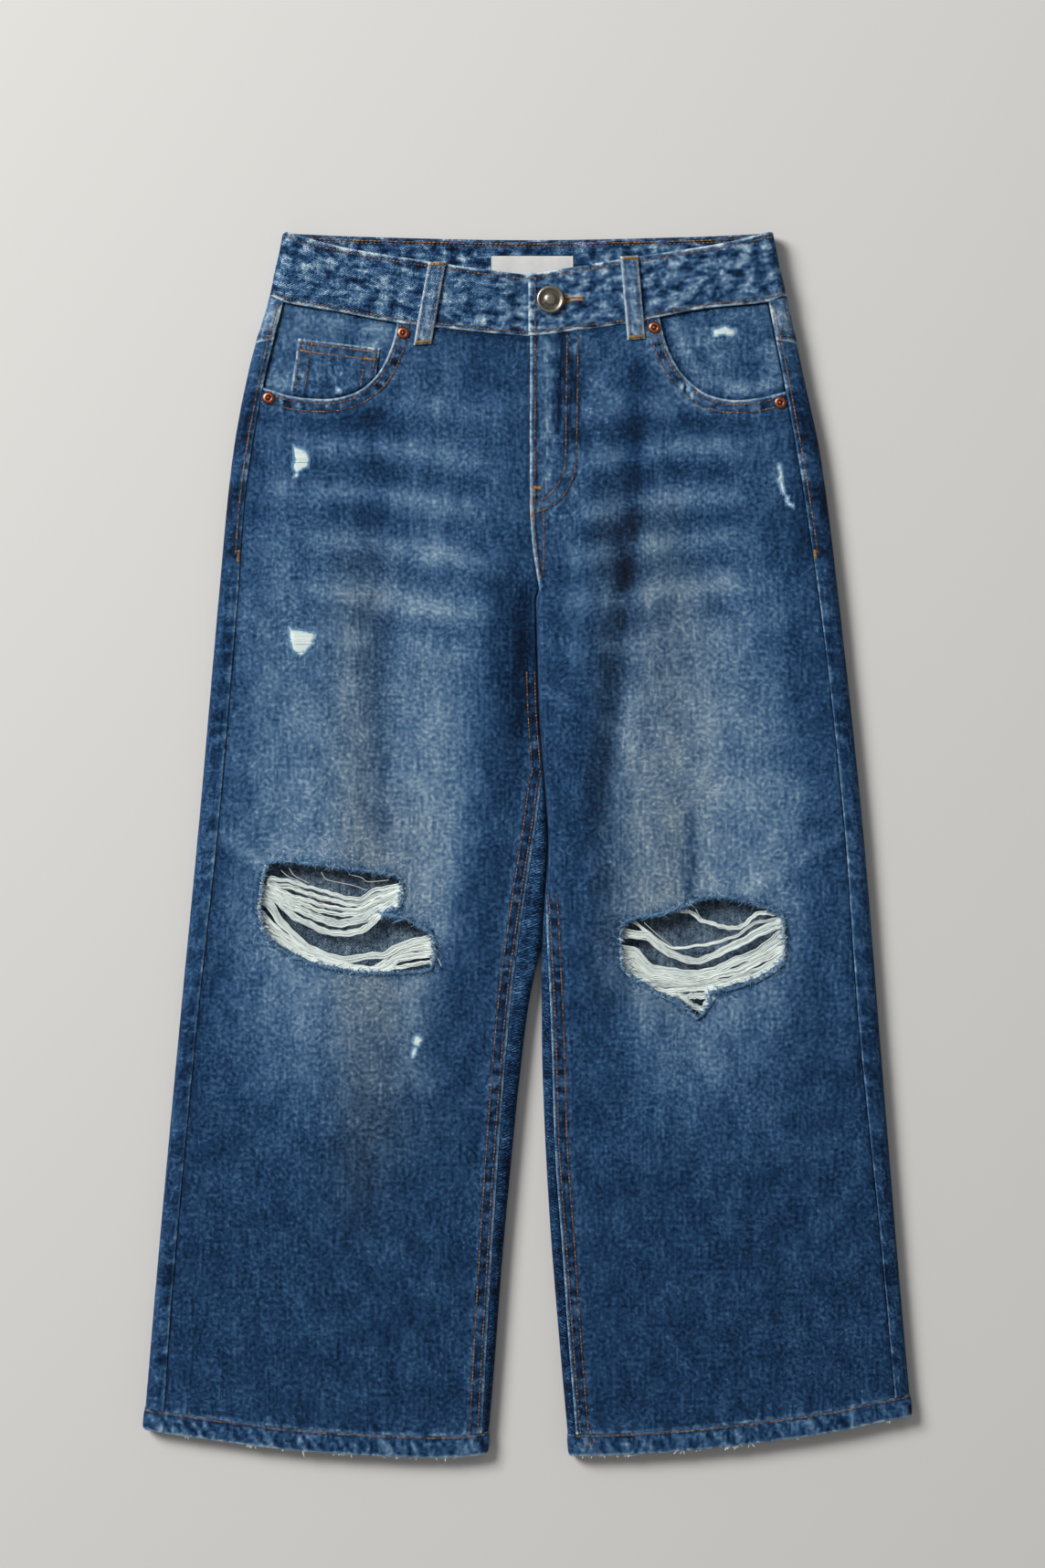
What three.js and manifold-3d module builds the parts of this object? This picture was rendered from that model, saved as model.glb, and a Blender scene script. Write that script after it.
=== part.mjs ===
// Child's wide-leg five-pocket jeans with ripped knees, laid flat on their back, in millimetres.
// X runs across the garment, Y from the hems to the waist, Z up from the surface they lie on.
// "right" and "left" are the wearer's: the right leg lies at negative X.
import * as THREE from 'three';
import { mergeVertices } from 'three/addons/utils/BufferGeometryUtils.js';
import Module from 'manifold-3d';

const wasm = await Module();
wasm.setup();

// ---- Driving dimensions -------------------------------------------------------------------

const CLOTH = 1.15; // one ply of denim
const GAP = 0.3; // clear space between pieces at a seam
const BAND = 2.2; // folded waistband, two plies pressed flat
const BAND_REST = 2; // height of the band's underside, carried by the back belt loops
const BAND_TOP = 14.2; // height of the band's outer face in front
const BAND_SIDE = 6; // reach of the band's rounded sides
const UNDERLAP_TOP = 11.6; // outer face of the band's end that carries the button
const UNDERLAP_END = 34; // how far that end passes the centre front
const HEM = 2.2; // folded hem, two plies pressed flat
const HEM_DEPTH = 13.5; // height of the folded hem
const HEM_PROUD = 0.5; // how far the hem stands out from the leg
const SIDE_REACH = 5.4; // reach of the rounded sides of a leg
const VALLEY_REACH = 2.2; // the same where the right leg dips beside the crotch
const LEG_GAP = 0.4; // between the two legs where they touch
const DOME = 1.1; // rise of a leg's middle over its sides
const SEAT_REST = 1.5; // the seat lies on its two patch pockets
const CROTCH_HIGH = 160; // the two halves part below this height
const CROTCH_LOW = 152; // and are two closed legs below this one
const LOOP_WIDTH = 11;
const LOOP_THICK = 1.7;
const BUTTON = { at: [14.2, 338], radius: 8.5, height: 3.6 };
const RIVET_RADIUS = 3.9;
const RIVET_HEIGHT = 1.5;
const RIVETS = [[-77, 317.5], [-160.6, 277.3], [78.8, 320.8], [157, 274.4]];

const DENIM = { color: 0x3f5f86, roughness: 0.9, metalness: 0 };
const DENIM_DARK = { color: 0x34527a, roughness: 0.9, metalness: 0 };
const DENIM_PALE = { color: 0x6f8aa8, roughness: 0.9, metalness: 0 };
const THREADS = { color: 0xd6dedb, roughness: 0.95, metalness: 0 };
const TAPE = { color: 0x2d3a4d, roughness: 0.9, metalness: 0 };
const TAG = { color: 0xeceeee, roughness: 0.85, metalness: 0 };
const STEEL = { color: 0xb9b4aa, roughness: 0.35, metalness: 0.9 };
const COPPER = { color: 0xb5603f, roughness: 0.35, metalness: 0.9 };

// ---- Curves -------------------------------------------------------------------------------

/** Smooth curve through [at, value] pairs with at rising; straight past both ends. */
function curve(pairs) {
  const last = pairs.length - 1;
  const slope = pairs.map((pair, i) => {
    const before = pairs[Math.max(i - 1, 0)];
    const after = pairs[Math.min(i + 1, last)];
    return (after[1] - before[1]) / (after[0] - before[0]);
  });
  return (at) => {
    if (at <= pairs[0][0]) return pairs[0][1] + slope[0] * (at - pairs[0][0]);
    if (at >= pairs[last][0]) return pairs[last][1] + slope[last] * (at - pairs[last][0]);
    let i = 0;
    while (at > pairs[i + 1][0]) i += 1;
    const span = pairs[i + 1][0] - pairs[i][0];
    const t = (at - pairs[i][0]) / span;
    const rise = pairs[i + 1][1] - pairs[i][1];
    const ease = t * t * (3 - 2 * t);
    const lead = t * (1 - t) * (1 - t) * span;
    const tail = t * t * (t - 1) * span;
    return pairs[i][1] + rise * ease + slope[i] * lead + slope[i + 1] * tail;
  };
}

const mix = (a, b, t) => a + (b - a) * t;

/** 0 below from, 1 above to (or the reverse), eased between. */
function ease(from, to, at) {
  const t = Math.min(Math.max((at - from) / (to - from), 0), 1);
  return t * t * (3 - 2 * t);
}

// Heights of the waistband's edges across the garment
const bandTopFront = curve([
  [-152, 381], [-115, 371], [-63, 362.3], [-27, 357.2], [0, 354.6],
  [24, 357.8], [55, 362.9], [120, 373.2], [152.5, 381],
]);
const bandBottomFront = curve([
  [-160.5, 341], [-150, 336.5], [-115, 330.3], [-82, 324], [-56, 321],
  [0, 316], [31, 319.3], [61, 323.2], [107, 332.3], [150, 337], [161, 341],
]);
const bandTopBack = curve([[-152, 381], [-100, 378.8], [0, 376.8], [103, 378.8], [152.5, 381]]);
const bandBottomBack = (x) => bandTopBack(x) - 39.5;

const centreFront = curve([[152, 8], [159, 7.1], [184, 3.1], [207, 1.4], [316, 1.4]]);
const centreBack = curve([[152, 8], [200, 4], [338, 3]]);
const bodyTop = curve([[-380, 9.8], [-200, 10.2], [0, 10.6], [150, 11], [250, 11.3], [335, 12.7]]);

// Outlines, seams and hems of each leg: X against Y, and hem height against X
const leftInner = curve([
  [-381, 26.4], [-326, 21.3], [-235, 13.9], [-145, 9.4], [-99, 8.8], [-65, 8.8],
  [-27, 11.1], [1, 12.8], [42, 10.5], [78, 7.7], [110, 6.5], [155, 5.4],
]);
const rightInnerFree = curve([
  [-381, -25.4], [-326, -20.7], [-258, -15.6], [-190, -9.4], [-145, -4.8], [-99, 0.9],
  [-67, 8.2], [-30, 20],
]);
const LEFT = {
  sign: 1,
  outer: curve([
    [-356, 239], [-258, 230.5], [-122, 219.5], [14, 208.5], [150, 194], [241, 182.5],
    [286, 173], [342, 161], [381, 152.5],
  ]),
  outseam: curve([
    [-357, 229.5], [-242, 219], [-109, 205.5], [14, 196.5], [138, 183], [228, 170],
    [286, 159.5], [334, 150],
  ]),
  inner: leftInner,
  inseam: curve([
    [-364, 29.8], [-312, 25.6], [-250, 21.3], [-190, 16.9], [-130, 15], [-99, 13.9],
    [-65, 12.2], [-27, 11.1], [40, 9],
  ]),
  innerReach: () => SIDE_REACH,
  hem: curve([
    [26.4, -380.6], [74, -378.8], [109, -375.9], [149, -371.4], [195, -364.6], [216, -360],
    [239, -355.5],
  ]),
};
const RIGHT = {
  sign: -1,
  outer: curve([
    [-364, -239], [-258, -230], [-122, -217.5], [14, -204.5], [150, -192.5], [241, -183.5],
    [297, -173], [341, -160.5], [381, -152],
  ]),
  outseam: curve([
    [-366, -226.5], [-272, -220], [-116, -205.5], [14, -191.6], [150, -180], [222, -174.5],
    [286, -163.7], [336, -151.5],
  ]),
  inner: (y) => Math.min(rightInnerFree(y), leftInner(y) - LEG_GAP),
  inseam: curve([
    [-366, -28], [-282, -23.5], [-173, -16.4], [-92, -9.5], [-41, -2.6], [11, 5.4], [44, 9.8],
    [80, 16],
  ]),
  innerReach: (y) => mix(SIDE_REACH, VALLEY_REACH, ease(5, 55, y)),
  hem: curve([
    [-239, -364], [-221, -366.8], [-157, -375.4], [-124, -378.2], [-74, -381], [-41, -381],
    [-25, -379],
  ]),
};

// Lengthwise soft troughs in the fronts: X against Y, half width, depth, and their reach in Y
const TROUGHS = [
  { line: curve([[14, 47], [82, 57], [150, 60], [280, 64]]), width: 8, depth: 2, reach: [-20, 290] },
  { line: curve([[-116, 111], [14, 103.5]]), width: 9, depth: 1.1, reach: [-135, 40] },
  { line: curve([[8, -89], [150, -88]]), width: 9, depth: 1.2, reach: [-20, 180] },
  { line: curve([[-123, -80], [-84, -80]]), width: 8, depth: 0.9, reach: [-150, -60] },
];

// ---- Surfaces -----------------------------------------------------------------------------

/** Height of the outer face on top of a leg or of the body. */
function topHeight(leg, x, y) {
  const reach = leg.outer(y) - leg.inner(Math.min(y, CROTCH_LOW));
  const across = Math.min(Math.max((leg.outer(y) - x) / reach, 0), 1);
  const closed = 1 - ease(CROTCH_LOW, CROTCH_HIGH + 30, y);
  let z = bodyTop(y) + DOME * Math.sin(Math.PI * across) * mix(0.6, 1, closed);
  for (const { line, width, depth, reach: [low, high] } of TROUGHS) {
    const off = (x - line(y)) / width;
    z -= depth * Math.exp(-off * off) * ease(low, low + 40, y) * ease(high, high - 40, y);
  }
  if (leg === RIGHT) {
    z -= 6.2 * ease(-26, 3, x) * ease(4, 60, y) * ease(176, 150, y);
  } else {
    z += 0.9 * ease(18, 2, x) * ease(165, 185, y);
  }
  return z;
}

/** Height of the outer face underneath. */
function restHeight(y) {
  const seat = SEAT_REST * ease(116, 143, y);
  const band = (BAND_REST - SEAT_REST) * ease(290, 318, y);
  return seat + band + HEM_PROUD * ease(-325, -355, y);
}

/** [x, z] at turn (radians, 0 level, rising to the top) on a side that ends at edge. */
function sidePoint(leg, y, edge, reach, turn) {
  const toMiddle = reach > 0 ? -Math.sign(edge - leg.middle(y)) : 0;
  const rootX = edge + toMiddle * reach;
  const high = topHeight(leg, rootX, y);
  const low = restHeight(y);
  const x = rootX - toMiddle * reach * Math.cos(turn);
  return [x, mix(low, high, 0.5 + 0.5 * Math.sin(turn))];
}
LEFT.middle = (y) => (LEFT.inner(y) + LEFT.outer(y)) / 2;
RIGHT.middle = (y) => (RIGHT.inner(y) + RIGHT.outer(y)) / 2;

/** Length along the closed leg's outer face from the level point of its inner side, over the top. */
function overInner(leg, y, length) {
  const reach = leg.innerReach(y);
  const quarter = reach * Math.PI / 2;
  if (length < quarter) return sidePoint(leg, y, leg.inner(y), reach, length / reach);
  const x = leg.inner(y) + leg.sign * (reach + length - quarter);
  return [x, topHeight(leg, x, y)];
}

/** The same length for the inseam at this height. */
function inseamLength(leg, y) {
  const reach = leg.innerReach(y);
  const inset = Math.max(leg.sign * (leg.inseam(y) - leg.inner(y)), 0);
  if (inset < reach) return reach * Math.acos(1 - inset / reach);
  return reach * (Math.PI / 2 - 1) + inset;
}

const FRONT_COLUMNS = [0, 0.012, 0.026, 0.045, 0.085, 0.16, 0.25, 0.35, 0.46, 0.57, 0.68, 0.79, 0.9, 1];

/** Cross-section of a front from its inner edge to its outseam: [x, z] points, and one past them. */
function frontPath(leg, y) {
  const open = ease(CROTCH_LOW, CROTCH_HIGH, y);
  const outseam = leg.outseam(y) - leg.sign * GAP / 2;
  const flatStart = centreFront(y) + leg.sign * GAP / 2;
  const closedY = Math.min(y, CROTCH_HIGH);
  const start = inseamLength(leg, closedY) + GAP / 2;
  const reach = leg.innerReach(closedY);
  const end = leg.sign * (outseam - leg.inner(closedY)) + reach * (Math.PI / 2 - 1);
  const at = (t) => {
    const flatX = mix(flatStart, outseam, t);
    const flat = [flatX, topHeight(leg, flatX, y)];
    if (open === 1) return flat;
    const round = overInner(leg, closedY, mix(start, end, t));
    return [mix(round[0], flat[0], open), mix(round[1], flat[1], open)];
  };
  return { points: FRONT_COLUMNS.map(at), before: at(-FRONT_COLUMNS[1]) };
}

const BACK_SIDE_STEPS = 5;
const BACK_FLAT_STEPS = 4;
const BACK_END_STEPS = 6;
const BACK_END_FLAT = 9;

/** Cross-section of a back from its outseam, round the side and underneath, to its inner edge. */
function backPath(leg, y) {
  const points = [];
  const edge = leg.outer(y);
  const start = leg.outseam(y) + leg.sign * GAP / 2;
  points.push([start, topHeight(leg, start, y)]);
  for (let i = 0; i <= BACK_SIDE_STEPS; i += 1) {
    points.push(sidePoint(leg, y, edge, SIDE_REACH, Math.PI * (0.5 - i / BACK_SIDE_STEPS)));
  }
  const closedY = Math.min(y, CROTCH_HIGH);
  const open = ease(CROTCH_LOW, CROTCH_HIGH, y);
  const reach = leg.innerReach(closedY);
  const roundTurn = leg.inner(closedY) + leg.sign * (reach + BACK_END_FLAT);
  const flatTurn = centreBack(y) + leg.sign * (GAP / 2 + BACK_END_FLAT);
  const turnX = mix(roundTurn, flatTurn, open);
  const flatFrom = edge - leg.sign * SIDE_REACH;
  for (let i = 1; i <= BACK_FLAT_STEPS; i += 1) {
    points.push([mix(flatFrom, turnX, i / BACK_FLAT_STEPS), restHeight(y)]);
  }
  const roundEnd = BACK_END_FLAT + reach * Math.PI / 2 + inseamLength(leg, closedY) - GAP / 2;
  const endPoint = (share) => {
    const flat = [flatTurn - leg.sign * BACK_END_FLAT * share, restHeight(y)];
    const length = roundEnd * share;
    let round = [roundTurn - leg.sign * length, restHeight(closedY)];
    if (length > BACK_END_FLAT) {
      const over = length - BACK_END_FLAT - reach * Math.PI / 2;
      round = overInner(leg, closedY, over);
    }
    return [mix(round[0], flat[0], open), mix(round[1], flat[1], open)];
  };
  for (let i = 1; i <= BACK_END_STEPS; i += 1) points.push(endPoint(i / BACK_END_STEPS));
  return { points, after: endPoint(1 + 1 / BACK_END_STEPS) };
}

/** A path's points moved inwards by depth, for the inner face of a wall. */
function inset({ points, before, after }, sign, depth) {
  return points.map((point, i) => {
    const from = points[i - 1] ?? before ?? point;
    const to = points[i + 1] ?? after ?? point;
    const [dx, dz] = [to[0] - from[0], to[1] - from[1]];
    const length = Math.hypot(dx, dz);
    return [point[0] + sign * depth * dz / length, point[1] - sign * depth * dx / length];
  });
}

// ---- Solids -------------------------------------------------------------------------------

/** Geometry from flat lists, turned to face outwards. */
function geometryOf(vertices, triangles) {
  const geometry = new THREE.BufferGeometry();
  geometry.setAttribute('position', new THREE.Float32BufferAttribute(vertices.flat(), 3));
  let volume = 0;
  const [a, b, c] = [new THREE.Vector3(), new THREE.Vector3(), new THREE.Vector3()];
  for (const [i, j, k] of triangles) {
    a.fromArray(vertices[i]);
    b.fromArray(vertices[j]);
    c.fromArray(vertices[k]);
    volume += a.dot(b.cross(c));
  }
  const facing = volume < 0 ? triangles.map(([i, j, k]) => [i, k, j]) : triangles;
  geometry.setIndex(facing.flat());
  return geometry;
}

/** Closed wall between two grids of [x, y, z] rows; ring joins each row's ends. */
function wall(outer, inner, ring = false) {
  const rows = outer.length;
  const columns = outer[0].length;
  const vertices = [...outer.flat(), ...inner.flat()];
  const under = rows * columns;
  const at = (row, column) => row * columns + (column % columns);
  const triangles = [];
  const quad = (a, b, c, d) => triangles.push([a, b, c], [a, c, d]);
  const steps = ring ? columns : columns - 1;
  for (let row = 0; row < rows - 1; row += 1) {
    for (let i = 0; i < steps; i += 1) {
      const corners = [at(row, i), at(row, i + 1), at(row + 1, i + 1), at(row + 1, i)];
      quad(...corners);
      quad(...corners.map((corner) => corner + under).reverse());
    }
  }
  for (let i = 0; i < steps; i += 1) {
    const top = rows - 1;
    quad(at(0, i + 1), at(0, i), at(0, i) + under, at(0, i + 1) + under);
    quad(at(top, i), at(top, i + 1), at(top, i + 1) + under, at(top, i) + under);
  }
  if (!ring) {
    for (let row = 0; row < rows - 1; row += 1) {
      const end = columns - 1;
      quad(at(row, 0), at(row + 1, 0), at(row + 1, 0) + under, at(row, 0) + under);
      quad(at(row + 1, end), at(row, end), at(row, end) + under, at(row + 1, end) + under);
    }
  }
  return geometryOf(vertices, triangles);
}

/** Wall of a panel: path(y) gives a cross-section, place(v, x, z, i) the Y of its point i. */
function panel(path, place, rows, sign, nearY = (v) => v) {
  const outer = [];
  const inner = [];
  for (const v of rows) {
    const columns = path(nearY(v)).points.map(([x, z], i) => {
      const guess = place(v, x, z, i);
      const [nearX, nearZ] = path(guess).points[i];
      return place(v, nearX, nearZ, i);
    });
    const faces = columns.map((y, i) => {
      const face = path(y);
      return { y, face: face.points[i], back: inset(face, sign, CLOTH)[i] };
    });
    outer.push(faces.map(({ y, face }) => [face[0], y, face[1]]));
    inner.push(faces.map(({ y, back }) => [back[0], y, back[1]]));
  }
  return wall(outer, inner);
}

function toManifold(geometry) {
  const plain = geometry.clone();
  plain.deleteAttribute('normal');
  plain.deleteAttribute('uv');
  const merged = mergeVertices(plain, 1e-4);
  return new wasm.Manifold(new wasm.Mesh({
    numProp: 3,
    vertProperties: Float32Array.from(merged.attributes.position.array),
    triVerts: Uint32Array.from(merged.index.array),
  }));
}

function fromManifold(solid) {
  const { vertProperties, triVerts } = solid.getMesh();
  const geometry = new THREE.BufferGeometry();
  geometry.setAttribute('position', new THREE.BufferAttribute(vertProperties, 3));
  geometry.setIndex(Array.from(triVerts));
  return geometry;
}

/** Upright prism on an outline of [x, y] corners. */
function prism(outline, low = -20, high = 40) {
  const shape = new THREE.Shape(outline.map(([x, y]) => new THREE.Vector2(x, y)));
  const geometry = new THREE.ExtrudeGeometry(shape, { depth: high - low, bevelEnabled: false });
  geometry.translate(0, 0, low);
  return geometry;
}

/** Points every few millimetres along a smooth open line through [x, y] corners. */
function smoothLine(corners, count) {
  const line = new THREE.SplineCurve(corners.map(([x, y]) => new THREE.Vector2(x, y)));
  return line.getPoints(count).map(({ x, y }) => [x, y]);
}

/** Sheet that lies on top: height(x, y) is its outer face, over rows from low to high at each x. */
function layer(columns, rowCount, low, high, height, depth) {
  const outer = [];
  const inner = [];
  for (let row = 0; row <= rowCount; row += 1) {
    const line = columns.map((x) => {
      const y = mix(low(x), high(x), row / rowCount);
      return [x, y, height(x, y)];
    });
    outer.push(line);
    inner.push(line.map(([x, y, z]) => [x, y, z - depth]));
  }
  return wall(outer, inner);
}

const spread = (from, to, steps) => Array.from({ length: steps + 1 }, (_, i) => mix(from, to, i / steps));

// ---- Fronts with pocket mouths and knee rips ----------------------------------------------

const HEM_ROW = -362;
const LOW_STRAIGHT = -300;
const HIGH_STRAIGHT = 250;
const TOP_ROW = 336;

/** Y of a nominal row v at x: straight in the middle, following hem and waist at the ends. */
function frontHeight(leg) {
  return (v, x) => {
    if (v < LOW_STRAIGHT) {
      const hemSeam = leg.hem(x) + HEM_DEPTH + GAP;
      return mix(LOW_STRAIGHT, hemSeam, (v - LOW_STRAIGHT) / (HEM_ROW - LOW_STRAIGHT));
    }
    if (v > HIGH_STRAIGHT) {
      const bandSeam = bandBottomFront(x) - GAP / 2;
      return mix(HIGH_STRAIGHT, bandSeam, (v - HIGH_STRAIGHT) / (TOP_ROW - HIGH_STRAIGHT));
    }
    return v;
  };
}

// Rows that a leg's front and back share, so that their edges follow each other
const LEG_ROWS = [
  -362, -335, -300, -240, -180, -120, -80, -40, 0, 40, 70, 95, 120, 140, 152, 156, 160, 180,
  210, 250,
];
const FRONT_ROWS = [...LEG_ROWS, 281.5, 313, 336];

const POCKET_RIGHT = smoothLine([
  [-81, 336], [-81.4, 322], [-84.8, 308.4], [-91.6, 294.3], [-100.6, 284.6], [-111.4, 279],
  [-126, 276.7], [-146, 278.4], [-163, 283.5], [-180, 290],
], 26);
const POCKET_LEFT = smoothLine([
  [82, 338], [82.5, 324.3], [87, 308.4], [93.3, 296], [101.8, 286.3], [112, 279.5],
  [126.2, 276.1], [143.2, 277.3], [161.3, 281.8], [180, 288],
], 26);

const RIP_RIGHT = [
  [-162, -13], [-154.5, -10], [-116, -14.2], [-87, -18], [-78.5, -22], [-79.5, -38.5],
  [-91, -43.5], [-78.5, -45], [-67, -50.5], [-59, -57], [-58.7, -74.5], [-66, -79],
  [-99.5, -80], [-124.5, -76.2], [-145.3, -69.5], [-161, -58], [-166, -43.5], [-166, -33.5],
  [-164.5, -22],
];
const RIP_LEFT = [
  [58, -50], [67.5, -45.3], [82.6, -43.3], [96, -39], [109, -33], [122.4, -32.5],
  [138.3, -35.8], [157.3, -43], [159, -55.6], [159.7, -71], [150.2, -80.3], [134.3, -87.5],
  [114.4, -92.2], [114, -98], [106.4, -107.7], [101.7, -104.2], [94.5, -98], [78.6, -91.5],
  [61, -78.7], [58.5, -67.6],
];

function front(leg, pocket, rip) {
  const shell = panel((y) => frontPath(leg, y), frontHeight(leg), FRONT_ROWS, leg.sign);
  const beyond = leg.sign * 230;
  const mouth = prism([...pocket, [beyond, pocket.at(-1)[1]], [beyond, 380], [pocket[0][0], 380]]);
  const cut = toManifold(shell).subtract(toManifold(mouth)).subtract(toManifold(prism(rip)));
  return fromManifold(cut);
}

/** Weft threads left across a rip, as one thin sagging sheet inside an outline. */
function ripThreads(leg, outline, columns, low, high) {
  const sag = (x, y) => topHeight(leg, x, y) - CLOTH - 0.5;
  const sheet = layer(columns, 4, () => low, () => high, sag, 0.8);
  return fromManifold(toManifold(sheet).intersect(toManifold(prism(outline))));
}

const THREADS_RIGHT = [
  [-162, -22], [-152, -17], [-135, -19], [-118, -30], [-96, -32], [-85, -29], [-80.5, -33],
  [-80.5, -38], [-93, -44.5], [-112, -52], [-100, -63], [-84, -66], [-66, -57], [-60.5, -61],
  [-60.2, -74], [-66.5, -77.5], [-99.5, -78.5], [-124, -74.8], [-144.5, -68.2], [-160, -57],
  [-164.5, -43], [-164.5, -34],
];
const THREADS_LEFT = [
  [60, -50.5], [68, -47], [80, -46], [88, -58], [104, -65], [122, -60], [136, -52],
  [155.5, -45.5], [157.4, -56], [158, -70], [149.5, -78.8], [133.8, -86], [113, -90.8],
  [112.5, -97], [106.2, -105.5], [102.5, -102.8], [95.3, -96.8], [79.2, -90], [62.4, -78],
  [60, -67],
];

// ---- Pocket facings and coin pocket, below the fronts -------------------------------------

const FACING_DROP = CLOTH + GAP + 0.1;

/** Denim facing seen in a pocket mouth; inside is how far it runs on under the front. */
function facing(leg, pocket, toCentre) {
  const edge = (x, y) => leg.sign * (leg.outseam(y) - x) > GAP;
  const height = (x, y) => topHeight(leg, x, y) - FACING_DROP;
  const columns = [0, 0.25, 0.5, 0.75, 1];
  const rows = [];
  const under = [];
  for (const t of spread(0, 1, 6)) {
    const line = columns.map((u) => {
      let x = toCentre;
      let y = 0;
      for (let pass = 0; pass < 3; pass += 1) {
        y = mix(262, bandBottomFront(x) - GAP, t);
        x = mix(toCentre, leg.outseam(y) - leg.sign * GAP, u);
      }
      return [x, y, height(x, y)];
    });
    rows.push(line);
    under.push(line.map(([x, y, z]) => [x, y, z - CLOTH]));
  }
  const inside = pocket.map(([x, y]) => [x - leg.sign * 13, y - 10]);
  const beyond = leg.sign * 230;
  const kept = prism([...inside, [beyond, inside.at(-1)[1]], [beyond, 380], [inside[0][0], 380]]);
  return fromManifold(toManifold(wall(rows, under)).intersect(toManifold(kept)));
}

/** Small pocket on the right facing, down to the pocket mouth. */
function coinPocket() {
  const height = (x, y) => topHeight(RIGHT, x, y) - FACING_DROP + GAP + 1;
  const top = curve([[-142, 314], [-92.7, 308]]);
  const sheet = layer(spread(-142.5, -92.5, 4), 3, () => 274, top, height, 1);
  const mouth = POCKET_RIGHT.map(([x, y]) => [x, y + GAP + 0.1]);
  const leaning = [[-144.8, 270], [-142, 330], [-92.7, 330], [-95.8, 290], [-99, 270]];
  const kept = toManifold(prism(leaning)).intersect(
    toManifold(prism([...mouth, [-230, 380], [-81, 380]])),
  );
  return fromManifold(toManifold(sheet).intersect(kept));
}

// ---- Backs, yokes and patch pockets -------------------------------------------------------

const BACK_ROWS = [...LEG_ROWS, 275, 300];
const YOKE_SIDE = 313;
const YOKE_CENTRE = 287;

/** Height of the yoke seam at point i of a back's cross-section. */
function yokeSeam(leg, i) {
  const { points } = backPath(leg, 300);
  let length = 0;
  let here = 0;
  for (let k = 1; k < points.length; k += 1) {
    length += Math.hypot(points[k][0] - points[k - 1][0], points[k][1] - points[k - 1][1]);
    if (k === i) here = length;
  }
  return mix(YOKE_SIDE, YOKE_CENTRE, here / length);
}

function back(leg) {
  const seams = backPath(leg, 300).points.map((_, i) => yokeSeam(leg, i));
  const place = (v, x, z, i) => {
    if (v < LOW_STRAIGHT) return frontHeight(leg)(v, x);
    if (v <= HIGH_STRAIGHT) return v;
    return mix(HIGH_STRAIGHT, seams[i] - GAP / 2, (v - HIGH_STRAIGHT) / (300 - HIGH_STRAIGHT));
  };
  return panel((y) => backPath(leg, y), place, BACK_ROWS, leg.sign);
}

function yoke(leg) {
  const seams = backPath(leg, 300).points.map((_, i) => yokeSeam(leg, i));
  const place = (v, x, z, i) => {
    const onTop = ease(3, 11, z);
    const seam = mix(bandBottomBack(x), bandBottomFront(x), onTop) - GAP / 2;
    return mix(seams[i] + GAP / 2, seam, v);
  };
  return panel((y) => backPath(leg, y), place, [0, 0.5, 1], leg.sign, () => YOKE_SIDE);
}

const PATCH = [[-56, 62], [56, 62], [51, -42], [0, -62], [-51, -42]];
const PATCH_CENTRE = [[-80, 212], [86, 212]];

// ---- Waistband, belt loops, hems ----------------------------------------------------------

/** Cross-section of the waistband at share v of its height, from its left end round the back. */
function bandPath(v) {
  const y = mix(341, 381, v);
  const [low, high] = [BAND_REST, BAND_TOP];
  const [right, left] = [RIGHT.outer(y) + BAND_SIDE, LEFT.outer(y) - BAND_SIDE];
  const points = spread(0.6, left, 9).map((x) => [x, high]);
  const round = (centre, from, steps) => {
    for (let i = 1; i <= steps; i += 1) {
      const turn = from - Math.PI * i / steps;
      const z = mix(low, high, 0.5 + 0.5 * Math.sin(turn));
      points.push([centre + BAND_SIDE * Math.cos(turn), z]);
    }
  };
  round(left, Math.PI / 2, 6);
  points.push(...spread(left, right, 8).slice(1).map((x) => [x, low]));
  round(right, -Math.PI / 2, 6);
  const flat = spread(right, -16, 7).slice(1).map((x) => [x, high]);
  const dip = [-12, -8, -4, -1].map((x) => [x, mix(high, UNDERLAP_TOP, ease(-15, -2, x))]);
  const hidden = spread(-1, UNDERLAP_END, 3).slice(1).map((x) => [x, UNDERLAP_TOP]);
  return [...points, ...flat, ...dip, ...hidden];
}

function waistband() {
  const outer = [];
  const inner = [];
  for (const v of [0, 0.5, 1]) {
    const path = bandPath(v);
    const back = inset({ points: path }, 1, BAND);
    const heightAt = ([x, z]) => {
      const front = mix(bandBottomFront(x), bandTopFront(x), v);
      const rear = mix(bandBottomBack(x), bandTopBack(x), v);
      return mix(rear, front, ease(BAND_REST, BAND_TOP - 3, z));
    };
    const heights = path.map(heightAt);
    outer.push(path.map(([x, z], i) => [x, heights[i], z]));
    inner.push(back.map(([x, z], i) => [x, heights[i], z]));
  }
  return wall(outer, inner);
}

/** Belt loop on the front of the band; ends are [x, y] of its middle line. */
function frontLoop(leg, top, bottom) {
  const outer = [];
  const inner = [];
  for (const t of [0, 0.12, 0.22, 0.4, 0.6, 0.8, 0.93, 1]) {
    const middle = [mix(bottom[0], top[0], t), mix(bottom[1], top[1], t)];
    const panelTop = topHeight(leg, middle[0], middle[1]) + GAP;
    const step = ease(bandBottomFront(middle[0]) - 4, bandBottomFront(middle[0]), middle[1]);
    const base = mix(panelTop, BAND_TOP + GAP, step) + 0.6 * Math.sin(Math.PI * t);
    const across = [-LOOP_WIDTH / 2, 0, LOOP_WIDTH / 2];
    outer.push(across.map((x) => [middle[0] + x, middle[1] + x * 0.08, base + LOOP_THICK]));
    inner.push(across.map((x) => [middle[0] + x, middle[1] + x * 0.08, base]));
  }
  return wall(outer, inner);
}

const BACK_LOOPS = { belt_loop_back_centre: 3, belt_loop_back_right: -98, belt_loop_back_left: 104 };

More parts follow.
